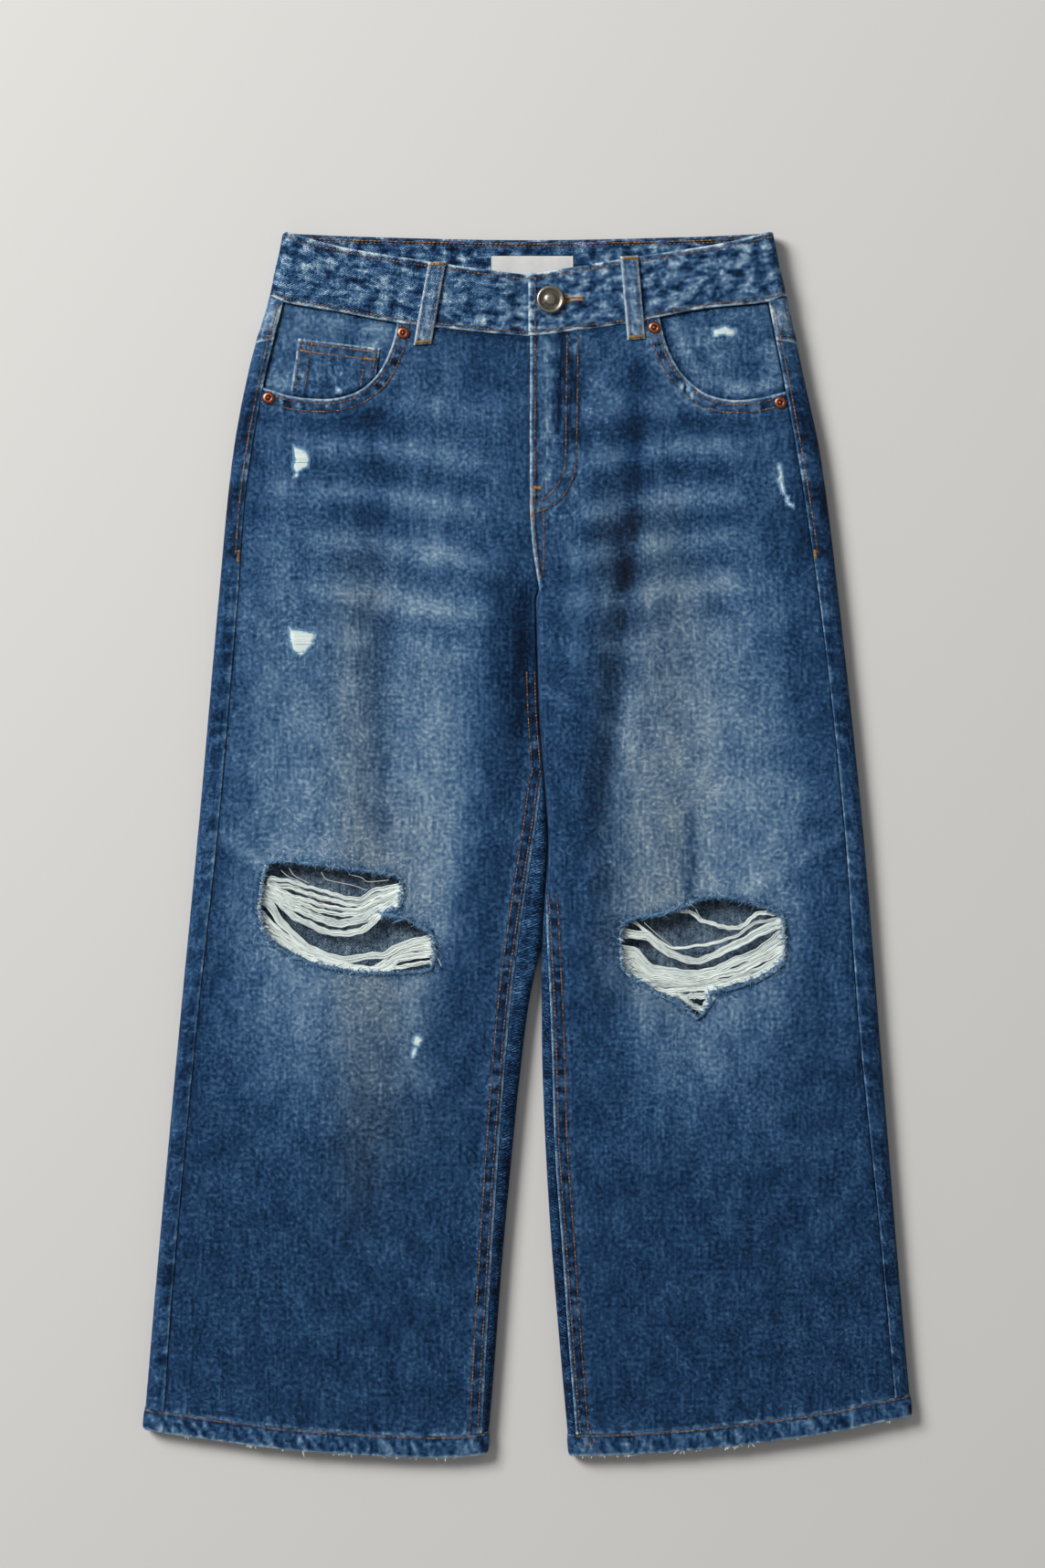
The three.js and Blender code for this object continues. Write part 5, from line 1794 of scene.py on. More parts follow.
@dataclass
class Hem:
    """Folded hem round one leg."""

    leg: Leg

    LINES = np.array([
        0, 0.12, 0.35, 0.7, 1.2, 2, 3, 4.4, 6, 7.6, 9.2, 10.6, 11.6, 12.2, 12.8, 13.3, 13.65,
    ])

    def __post_init__(self) -> None:
        """Sets the columns: on top, outer side, underneath, inner side."""
        top = np.linspace(0, 1, 96)[:-1]
        side = np.linspace(0, 1, 13)[:-1]
        self.columns = np.concatenate([
            top, 1 + side, 2 + np.linspace(0, 1, 50)[:-1], 3 + side, [4.0],
        ])
        self.phase = 30.0 * self.leg.sign

    def section(self, q: Array, y: Array) -> tuple[Array, Array, Array, Array]:
        """Cross-section of the outer face: X, Z and the way that it looks."""
        leg, way = self.leg, self.leg.sign
        outer = leg.outer(y) + way * HEM_PROUD
        inner = leg.inner(y) - way * HEM_PROUD
        root_in, root_out = inner + way * SIDE_REACH, outer - way * SIDE_REACH
        part = np.minimum(q.astype(int), 3)
        share = q - part
        turn_out = math.pi * (0.5 - share)
        turn_in = math.pi * (-0.5 + share)
        x = np.choose(part, [
            mix(root_in, root_out, share), root_out + way * SIDE_REACH * np.cos(turn_out),
            mix(root_out, root_in, share), root_in - way * SIDE_REACH * np.cos(turn_in),
        ])
        high_out, high_in = leg.top(root_out, y), leg.top(root_in, y)
        z = np.choose(part, [
            leg.top(x, y), high_out * (0.5 + 0.5 * np.sin(turn_out)),
            np.zeros(q.shape), high_in * (0.5 + 0.5 * np.sin(turn_in)),
        ])
        face_x = np.choose(part, [
            0 * q, way * np.cos(turn_out), 0 * q, -way * np.cos(turn_in),
        ])
        face_z = np.choose(part, [0 * q + 1, np.sin(turn_out), 0 * q - 1, np.sin(turn_in)])
        return x, z, face_x, face_z

    def shape(self, q: Array, off: Array) -> tuple[Array, Array, Array]:
        """Points, grain and tone, off the distance up from the lower edge."""
        leg = self.leg
        x, _, _, _ = self.section(q, np.full(q.shape, -370.0))
        for _ in range(2):
            y = leg.hem(x) + off
            x, z, face_x, face_z = self.section(q, y)
        flip = np.where((q > 1.5) & (q < 3.5), 1.0, 0.0)
        along = x + self.phase + 230 * flip
        wave = puckers(along + 0.5 * off, off * 0.4, 9)
        roll = np.sqrt(np.clip(1 - (1 - np.clip(off / 1.1, 0, 1)) ** 2, 0, 1))
        middle = ease(0.4, 3, off) * ease(12.2, 9, off)
        lift = 0.05 + 0.35 * middle + 0.16 * wave * middle - 1.0 * (1 - roll)
        lift = lift - 0.25 * hill(12.4, 0.7, off)
        lift = np.where(face_z < -0.5, np.minimum(lift, 0.0), lift)
        tone = 0.37 + 0.3 * wave * middle + 0.6 * hill(0.3, 1.2, off)
        tone = tone - 0.3 * hill(12.3, 0.7, off) + 0.3 * hill(13.4, 0.7, off)
        seam_in = np.abs(leg.sign * (x - leg.inseam(y)))
        seam_out = np.abs(leg.outseam(y) - x)
        on_top = face_z > 0.3
        tone = tone + 0.2 * hill(5, 3.5, seam_in) * on_top - 0.25 * hill(0, 0.8, seam_in) * on_top
        lift = lift - 0.5 * hill(0, 0.7, seam_out) * on_top - 0.5 * hill(0, 0.7, seam_in) * on_top
        tone = tone - 0.3 * hill(0, 0.7, seam_out) * on_top
        tone = tone + 0.2 * hill(1.4, 0.8, seam_out) * on_top
        points = np.stack([x + lift * face_x, y, z + lift * face_z], 1)
        around = np.interp(q, [0, 1, 2, 3, 4], [0, 200, 214, 414, 428])
        return points, np.stack([around, y], 1), tone

    def stitched(self) -> tuple[Array, Array]:
        """The stitch line round the hem, with the ways that the cloth faces there."""
        q = np.linspace(0, 3.999, 500)
        points, _, _ = self.shape(q, np.full(q.shape, 12.4))
        _, _, face_x, face_z = self.section(q, points[:, 1])
        points[:, 0] += 0.1 * face_x
        points[:, 2] += np.where(face_z < -0.5, 0.35, 0.1 * face_z)
        return points, np.stack([face_x, 0 * q, face_z], 1)

    def build(self, denim: Material, lining: Material) -> Object:
        """Makes the hem."""
        piece = Ply(
            f"hem_{self.leg.name}_cloth", self.columns, self.LINES, self.shape, HEM - 0.3,
            ring=True, wear=0.6,
        ).build(Slot.DENIM, denim, lining, [f"hem_{self.leg.name}"])
        return piece


@dataclass
class Waistband:
    """Folded band from its left end round the back to the hidden end under the fly."""

    DEPTH = 39.0
    EDGE = (0, 0.12, 0.35, 0.7, 1.1, 1.6, 2.2, 2.7, 3.2, 3.8, 4.8, 6.4)

    def __post_init__(self) -> None:
        """Sets the columns and measures the band at half height."""
        span = np.linspace(0, 1, 96)[:-1]
        turn = np.linspace(0, 1, 15)[:-1]
        rear = np.linspace(0, 1, 70)[:-1]
        self.columns = np.concatenate([
            [0, 0.003, 0.007], span[1:], 1 + turn, 2 + rear, 3 + turn, 4 + np.linspace(0, 1, 120),
        ])
        self.columns = np.unique(self.columns)
        x, z, _, _ = self.section(self.columns, np.full(len(self.columns), 361.0))
        self.along = np.concatenate([[0], np.cumsum(np.hypot(np.diff(x), np.diff(z)))])
        self.cloud = Ripple(61, 34, 9, 0.45)
        self.wave = Ripple(62, 90, 24, 1)

    def section(self, q: Array, y: Array) -> tuple[Array, Array, Array, Array]:
        """Cross-section of the outer face: X, Z and the way that it looks."""
        left, right = LEFT.outer(y) - BAND_SIDE, RIGHT.outer(y) + BAND_SIDE
        part = np.minimum(q.astype(int), 4)
        share = q - part
        turn = np.where(part == 1, math.pi * (0.5 - share), -math.pi * (0.5 + share))
        centre = np.where(part == 1, left, right)
        round_x = centre + BAND_SIDE * np.cos(turn)
        round_z = mix(BAND_REST, BAND_TOP, 0.5 + 0.5 * np.sin(turn))
        last_x = mix(right, UNDERLAP_END, share)
        last_z = mix(BAND_TOP, UNDERLAP_TOP, ease(-15, -2, last_x))
        first_x, rear_x = mix(0.6, left, share), mix(left, right, share)
        x = np.choose(part, [first_x, round_x, rear_x, round_x, last_x])
        z = np.choose(part, [0 * q + BAND_TOP, round_z, 0 * q + BAND_REST, round_z, last_z])
        rounded = (part == 1) | (part == 3)
        face_x = np.where(rounded, np.cos(turn), 0)
        face_z = np.where(rounded, np.sin(turn), np.where(part == 2, -1, 1))
        return x, z, face_x, face_z

    def height(self, x: Array, z: Array, v: Array) -> Array:
        """Y at share v of the band's height."""
        front = mix(BAND_BOTTOM_FRONT(x), BAND_TOP_FRONT(x), v)
        rear = mix(band_bottom_back(x), BAND_TOP_BACK(x), v)
        return mix(rear, front, ease(BAND_REST, BAND_TOP - 3, z))

    def shape(self, q: Array, off: Array) -> tuple[Array, Array, Array]:
        """Points, grain and tone, off the distance up from the lower edge."""
        v = off / self.DEPTH
        x, z, face_x, face_z = self.section(q, mix(341, 381, v))
        y = self.height(x, z, v)
        along = np.interp(q, self.columns, self.along)
        edge = np.minimum(off, self.DEPTH - off)
        roll = 1 - np.sqrt(np.clip(1 - (1 - np.clip(edge / 1.2, 0, 1)) ** 2, 0, 1))
        wave = puckers(along + 0.3 * off, edge, 11)
        rows = hill(3.0, 0.6, self.DEPTH - off) + hill(2.3, 0.6, off)
        lift = -0.9 * roll - 0.22 * rows + 0.1 * wave * ease(9, 3, edge)
        lift = lift + 0.25 * self.wave(along, off) * ease(2, 12, edge) * (q > 0.05)
        end = (along < 12) * (q < 0.5)
        lift = lift - 0.25 * hill(4.2, 0.7, along) * end - 0.5 * ease(0.9, 0, along) * end
        lift = np.where(face_z < -0.5, np.minimum(lift, 0.1), lift)
        tone = 0.5 + 0.22 * self.cloud(along, off) + 0.12 * wave * ease(10, 3, edge)
        behind = face_z < -0.5
        tone = tone + (0.5 - 0.45 * behind) * hill(0.3, 1.1, edge) - 0.28 * rows
        tone = tone + 0.2 * behind * puckers(along, 0.3 * off, 6.5) * ease(4, 9, self.DEPTH - off)
        tone = tone + 0.45 * hill(0.3, 1.1, along) * end - 0.1 * (face_z < -0.5)
        tone = tone - 0.25 * hill(4.4, 0.8, along) * end
        loops = hill(-60, 8, x) + hill(65, 8, x)
        tone = tone - 0.12 * loops * (face_z > 0.5)
        points = np.stack([x + lift * face_x, y, z + lift * face_z], 1)
        return points, np.stack([off, -along], 1), tone

    def line(self, off: float, low: float, high: float) -> tuple[Array, Array]:
        """A line on the outer face at one height, with the ways that it faces."""
        q = np.linspace(low, high, 700)
        points, _, _ = self.shape(q, np.full(q.shape, off))
        _, _, face_x, face_z = self.section(q, points[:, 1])
        return points, np.stack([face_x, 0 * q, face_z], 1)

    def inner_line(self, off: float) -> tuple[Array, Array]:
        """A line on the inner face behind, with the ways that it faces."""
        points, _ = self.line(off, 2.02, 2.98)
        points[:, 2] = BAND_REST + BAND + 0.1
        return points, straight_up(len(points))

    def build(self, denim: Material, lining: Material) -> Object:
        """Makes the band."""
        edge = np.array(self.EDGE)
        rows = np.concatenate([edge, np.linspace(6.4, self.DEPTH - 6.4, 10)[1:-1],
                               self.DEPTH - edge[::-1]])
        piece = Ply("waistband_cloth", self.columns, rows, self.shape, BAND, wear=1.15).build(
            Slot.DENIM, denim, lining, ["waistband"]
        )
        return piece


# Distances across a belt loop at which its grid lines run, closest at its edges
HALF_LOOP = np.array([0, 0.25, 0.6, 1.1, 1.6, 2.1, 2.7, 3.6, 4.5, 5.5])
LOOP_COLUMNS = np.concatenate([HALF_LOOP, LOOP_WIDTH - HALF_LOOP[-2::-1]])


@dataclass
class Loop:
    """Belt loop on the front of the band. Ends are the middle of its top and bottom."""

    name: str
    leg: Leg
    top: tuple[float, float]
    bottom: tuple[float, float]

    def base(self, t: Array) -> tuple[Array, Array, Array]:
        """Middle line of the outer face at shares of its length."""
        x, y = mix(self.bottom[0], self.top[0], t), mix(self.bottom[1], self.top[1], t)
        panel = self.leg.top(x, y) + GAP
        step = ease(BAND_BOTTOM_FRONT(x) - 4, BAND_BOTTOM_FRONT(x), y)
        z = mix(panel, BAND_TOP + GAP, step) + 0.6 * np.sin(math.pi * t)
        return x, y, z + LOOP_THICK + 0.1

    def shape(self, across: Array, off: Array) -> tuple[Array, Array, Array]:
        """Points, grain and tone."""
        length = math.dist(self.top, self.bottom)
        t = off / length
        x, y, z = self.base(t)
        side = across - LOOP_WIDTH / 2
        edge = LOOP_WIDTH / 2 - np.abs(side)
        ends = np.minimum(off, length - off)
        wave = puckers(off + 60, across, 8)
        lift = 0.12 * wave - 0.7 * ease(1.0, 0, edge) - 0.5 * ease(1.0, 0, ends)
        lift = lift - 0.22 * hill(2.1, 0.6, edge) + 0.15 * ease(3.5, 5.5, edge)
        tone = 0.7 + 0.12 * wave + 0.35 * hill(0.2, 1.0, edge) - 0.28 * hill(2.3, 0.6, edge)
        tone = tone + 0.3 * hill(0, 1.2, ends)
        tone = tone + 0.16 * ease(BAND_BOTTOM_FRONT(x) + 5, BAND_BOTTOM_FRONT(x) - 2, y)
        return (
            np.stack([x + side, y + side * 0.08, z + lift], 1), np.stack([across, off], 1), tone,
        )

    def build(self, denim: Material) -> Object:
        """Makes the loop."""
        length = math.dist(self.top, self.bottom)
        fine = np.array([0, 0.3, 0.8, 1.4])
        rows = np.concatenate([fine, np.linspace(2, length - 2, 34), length - fine[::-1]])
        piece = Ply(
            f"{self.name}_cloth", LOOP_COLUMNS, rows, self.shape, LOOP_THICK - 0.1, wear=0.5
        ).build(Slot.DENIM, denim, denim, [self.name])
        return piece


@dataclass
class RearLoop:
    """Belt loop behind, under the band."""

    name: str
    x: float

    LENGTH = 49.0

    def shape(self, across: Array, off: Array) -> tuple[Array, Array, Array]:
        """Points, grain and tone."""
        side = across - LOOP_WIDTH / 2
        edge = np.minimum(LOOP_WIDTH / 2 - np.abs(side), np.minimum(off, self.LENGTH - off))
        wave = puckers(off + self.x, across, 8)
        z = 0.1 + 0.08 * (1 + wave) + 0.4 * ease(1.0, 0, edge) + 0.15 * hill(2.1, 0.6, edge)
        tone = 0.44 + 0.12 * wave + 0.3 * hill(0.2, 0.9, edge)
        y = band_bottom_back(np.full(off.shape, self.x)) - 10 + off
        return np.stack([self.x + side, y, z], 1), np.stack([across, off], 1), tone

    def build(self, denim: Material) -> Object:
        """Makes the loop."""
        piece = Ply(
            f"{self.name}_cloth", LOOP_COLUMNS, stepped(self.LENGTH, 1.8), self.shape, 1.3, False
        ).build(Slot.DENIM, denim, denim, [self.name])
        return piece


@dataclass
class Facing:
    """Denim seen in a pocket mouth, under the front."""

    leg: Leg
    inner: float
    low: float = 262.0

    def __post_init__(self) -> None:
        """Keeps the line of the mouth, which shades it."""
        self.mouth = MOUTHS[self.leg.name]
        self.wave = Ripple(71 + self.leg.sign, 45, 12)

    def shape(self, u: Array, t: Array) -> tuple[Array, Array, Array]:
        """Points, grain and tone at shares across and up."""
        leg = self.leg
        x = np.full(u.shape, self.inner)
        for _ in range(3):
            y = mix(self.low, BAND_BOTTOM_FRONT(x) - GAP, t)
            x = mix(self.inner, leg.outseam(y) - leg.sign * GAP, u)
        away, _, _ = nearest(self.mouth, x, y)
        away = away * leg.sign
        lift = 0.18 * self.wave(x, y)
        tone = (0.5 if leg.sign > 0 else 0.52) + 0.09 * self.wave(x, y)
        # Painted shadow along the mouth, under the front's edge, and just under the band
        tone = tone - 0.2 * ease(5, 0.5, away) + 0.16 * hill(9, 4.5, away)
        tone = tone - 0.12 * ease(5, 1, BAND_BOTTOM_FRONT(x) - y)
        if leg.sign > 0:
            tone = tone - 0.2 * SCUFFS["facing"][0].amount(x, y)
        z = leg.top(x, y) - FACING_DROP + np.minimum(lift, 0.15)
        return laid(x, y, z, tone)

    def build(self, denim: Material, lining: Material) -> Object:
        """Makes the facing."""
        name = f"pocket_facing_{self.leg.name}"
        piece = Ply(
            f"{name}_cloth", np.linspace(0, 1, 62), np.linspace(0, 1, 46), self.shape
        ).build(Slot.DENIM, denim, lining, [name])
        return piece


class CoinPocket:
    """Small pocket on the right facing, down to the pocket mouth."""

    LEFT_EDGE = Curve((281.8, -146.9), (314.5, -142.2))
    RIGHT_EDGE = Curve((270, -97), (290, -94.2), (308, -91.5))
    TOP = Curve((-142, 314.3), (-92, 308.2))

    def floor(self, x: Array) -> Array:
        """Lower limit, just clear of the mouth."""
        line = MOUTHS["right"][::-1]
        return np.interp(x, line[:, 0], line[:, 1]) + GAP + 0.1

    def shape(self, u: Array, t: Array) -> tuple[Array, Array, Array]:
        """Points, grain and tone at shares across and up."""
        y = np.full(u.shape, 295.0)
        for _ in range(3):
            x = mix(self.LEFT_EDGE(y), self.RIGHT_EDGE(y), u)
            y = mix(self.floor(x), self.TOP(x), t)
        top = self.TOP(x) - y
        left, right = x - self.LEFT_EDGE(y), self.RIGHT_EDGE(y) - x
        side = np.minimum(left, right)
        wave = puckers(x + y, np.minimum(top, side), 8)
        lift = -0.5 * ease(0.8, 0, np.minimum(top, side)) + 0.1 * wave * ease(9, 3, top)
        rows = hill(2.4, 0.6, top) + hill(7.6, 0.6, top) + hill(2.4, 0.6, side)
        rows = rows + hill(8.6, 0.6, side)
        lift = lift - 0.15 * rows
        tone = 0.44 + 0.5 * hill(0.3, 1.0, top) + 0.45 * hill(0.3, 1.0, left)
        tone = tone + 0.4 * hill(0.3, 0.9, right) + 0.14 * wave * ease(9, 5, np.minimum(top, side))
        # Painted shadow at the pocket's lower end, under the front's edge at the mouth
        tone = tone - 0.2 * ease(5, 0.5, y - self.floor(x)) + 0.05 * wave - 0.22 * rows
        z = RIGHT.top(x, y) - FACING_DROP + GAP + 1 + lift
        return laid(x, y, z, tone)

    def build(self, denim: Material) -> Object:
        """Makes the pocket."""
        up = np.array([0, 0.2, 0.4, 0.55, 0.66, 0.74, 0.8, 0.85, 0.9, 0.935, 0.96, 0.98, 1])
        up = np.unique(np.append(up, np.linspace(0, 1, 14)))
        piece = Ply(
            "coin_pocket_cloth", stepped(50, 1.8) / 50, up, self.shape, 0.95, wear=0.55
        ).build(Slot.DENIM, denim, denim, ["coin_pocket"])
        return piece


@dataclass
class FlyLayer:
    """Sheet that lies under the fly: the zip's tape or the shield."""

    node: str
    start: float
    end: float
    low: float
    drop: float
    thickness: float
    ridge: float = 0.0

    def shape(self, u: Array, t: Array) -> tuple[Array, Array, Array]:
        """Points, grain and tone at shares across and up."""
        x = mix(self.start, self.end, u)
        y = mix(self.low, BAND_BOTTOM_FRONT(x) - 1.5, t)
        right, left = RIGHT.top(x, y), LEFT.top(x, y)
        here = np.where(x < 1.4, right, left)
        lowest = np.minimum(here, np.minimum(RIGHT.top(0 * x + 1, y), LEFT.top(0 * x + 2, y)))
        z = lowest - CLOTH - self.drop - 0.2
        middle = (self.start + self.end) / 2
        teeth = 0.7 + 0.3 * np.sin(TURN * y / 1.4)
        z = z + self.ridge * hill(middle, 1.6, x) * teeth - self.ridge
        return laid(x, y, z, np.full(u.shape, 0.3))

    def build(
        self, slot: Slot, outside: Material, inside: Material
    ) -> Object:
        """Makes the sheet."""
        rows = 280 if self.ridge else 50
        piece = Ply(
            f"{self.node}_cloth", np.linspace(0, 1, 24), np.linspace(0, 1, rows), self.shape,
            self.thickness,
        ).build(slot, outside, inside, [self.node])
        return piece


class Label:
    """Bare label inside the back of the band."""

    START, END, LOW, HIGH = -22.5, 28.5, 346.0, 366.6

    def shape(self, u: Array, t: Array) -> tuple[Array, Array, Array]:
        """Points, grain and tone at shares across and up."""
        x, y = mix(self.START, self.END, u), mix(self.LOW, self.HIGH, t)
        edge = np.minimum(np.minimum(x - self.START, self.END - x), self.HIGH - y)
        z = BAND_REST + BAND + GAP + 0.4 + 0.35 * hill(0.55, 0.25, u) * hill(0.4, 0.35, t)
        z = z + 0.12 * np.sin(TURN * x / 17 + 1) - 0.12 - 0.15 * hill(1.2, 0.5, edge)
        return laid(x, y, z, np.full(u.shape, 1.0))

    def build(self, ribbon: Material) -> Object:
        """Makes the label."""
        piece = Ply(
            "label_tape", stepped(51, 1.5) / 51, np.linspace(0, 1, 22), self.shape, 0.35
        ).build(Slot.LABEL, ribbon, ribbon, ["label"])
        return piece


# ---- Rips and frayed spots -----------------------------------------------------------------------

# Bundles of bared threads in each rip: width of the bundle, depth in the rip, its middle line
BUNDLES = {
    "right": (
        (2.5, 0.2, ((-160, -21), (-146, -23.5), (-136.5, -26), (-127, -28.5), (-118.5, -32),
                    (-104, -33.5), (-97.5, -29.5), (-89, -27.5), (-79, -25))),
        (3.1, 0.6, ((-160.5, -24), (-146, -27.5), (-138, -30), (-128, -32.5), (-118.5, -35.5),
                    (-111, -37), (-104, -37), (-97.5, -33), (-89, -31), (-79, -27.5))),
        (2.8, 0.3, ((-161.5, -25.5), (-148, -31.5), (-139, -34.5), (-128, -37), (-118.5, -39.5),
                    (-109.5, -41), (-103, -40), (-98.5, -37), (-89, -34), (-79.5, -30))),
        (2.8, 0.8, ((-162, -27.5), (-151.5, -32.5), (-134, -39.5), (-125, -41.5), (-115.5, -43.5),
                    (-104.5, -43), (-99, -39.5), (-90.5, -36), (-80, -32.5))),
        (5.4, 0.4, ((-163, -29.5), (-152, -34.5), (-139, -42), (-128, -46), (-118.5, -48.5),
                    (-111, -48.5), (-103, -46.5), (-97, -42.5), (-80.5, -35))),
        (4.4, 0.9, ((-163, -32), (-156, -34), (-145, -45), (-137.5, -49), (-121.5, -54.5),
                    (-105.5, -54.5), (-99, -51), (-94.5, -45.5), (-81.5, -38))),
        (4.6, 0.3, ((-165.5, -35.5), (-160, -38), (-151.5, -49.5), (-139, -62), (-131, -66.5),
                    (-112.5, -71), (-97.5, -69), (-89, -69.5), (-78, -62.5), (-61, -58.5))),
        (3.9, 0.7, ((-165, -43), (-153.5, -55), (-140.5, -64), (-123.5, -71), (-115.5, -74.5),
                    (-105.5, -76.5), (-94, -76), (-82, -68.5), (-74.5, -65.5), (-60, -62.5))),
        (3.9, 0.2, ((-164, -51), (-157.5, -56.5), (-144.5, -65.5), (-128, -72.5), (-105.5, -77.5),
                    (-94, -78), (-86, -75), (-78, -71), (-59.5, -67.5))),
        (2.3, 0.5, ((-160, -56.5), (-146.5, -65), (-128, -74), (-117, -76.5), (-94, -79),
                    (-82, -77), (-59.5, -72))),
    ),
    "left": (
        (2.6, 0.2, ((93.5, -41), (103, -43), (110.5, -48), (123.5, -51.5), (131, -51),
                    (136.5, -49), (143.5, -42.5), (155, -43))),
        (1.7, 0.5, ((66, -48.5), (76.5, -56), (87, -62.5), (98.5, -64), (114.5, -61.5),
                    (130.5, -56), (141.5, -49.5), (157.5, -45.5))),
        (5.2, 0.3, ((58.5, -54.5), (67, -55.5), (75.5, -58), (87, -67), (99.5, -71), (106, -72.5),
                    (114, -70), (128.5, -62.5), (143, -55), (158, -49))),
        (5.8, 0.6, ((58.5, -66), (67, -67.5), (75, -75.5), (87, -79), (103, -80.5), (117.5, -77.5),
                    (132, -72), (145.5, -65.5), (158.5, -56))),
        (5.1, 0.2, ((59, -71), (66, -72.5), (76.5, -81), (93, -84), (103, -85.5), (121, -81),
                    (132, -77.5), (150, -69), (158.5, -63))),
        (3.6, 0.8, ((60.5, -76), (67, -79.5), (83, -86), (103, -88.5), (121, -85), (141.5, -79),
                    (158.5, -68.5))),
        (2.9, 0.4, ((67.5, -82.5), (84, -90), (103, -90.5), (117.5, -88.5), (139, -82.5),
                    (156, -72.5))),
        (4.3, 0.7, ((84, -92.5), (93, -93.5), (99.5, -94.5), (107.5, -94), (114, -92.5))),
        (4.3, 0.4, ((96, -96), (100, -98.5), (106, -102), (110.5, -100.5), (114, -95))),
    ),
}

# Single threads: height above the cloth, negative in the rip, and the line
LONE_THREADS = {
    "right": (
        (-1.2, ((-128, -17), (-125, -21.5), (-117, -23.5), (-107.5, -25.5), (-100, -28.5))),
        (-1.0, ((-111, -18.5), (-103, -20.5), (-99, -23), (-86, -22))),
        (0.5, ((-61, -59), (-59.5, -65), (-55.5, -71), (-53.5, -75.5))),
        (-0.8, ((-90.5, -45), (-80, -44.5), (-73.5, -46.5), (-70.5, -50))),
        (-1.0, ((-148, -14.5), (-145, -19), (-140.5, -21.5), (-135.5, -24))),
        (-1.1, ((-153, -16), (-149, -19.5), (-143.5, -22), (-136.5, -25.5))),
    ),
    "left": (
        (-1.0, ((72.5, -48.5), (81.5, -56.5), (90, -63))),
        (-1.1, ((104.5, -40), (107.5, -45), (112.5, -49.5))),
    ),
}


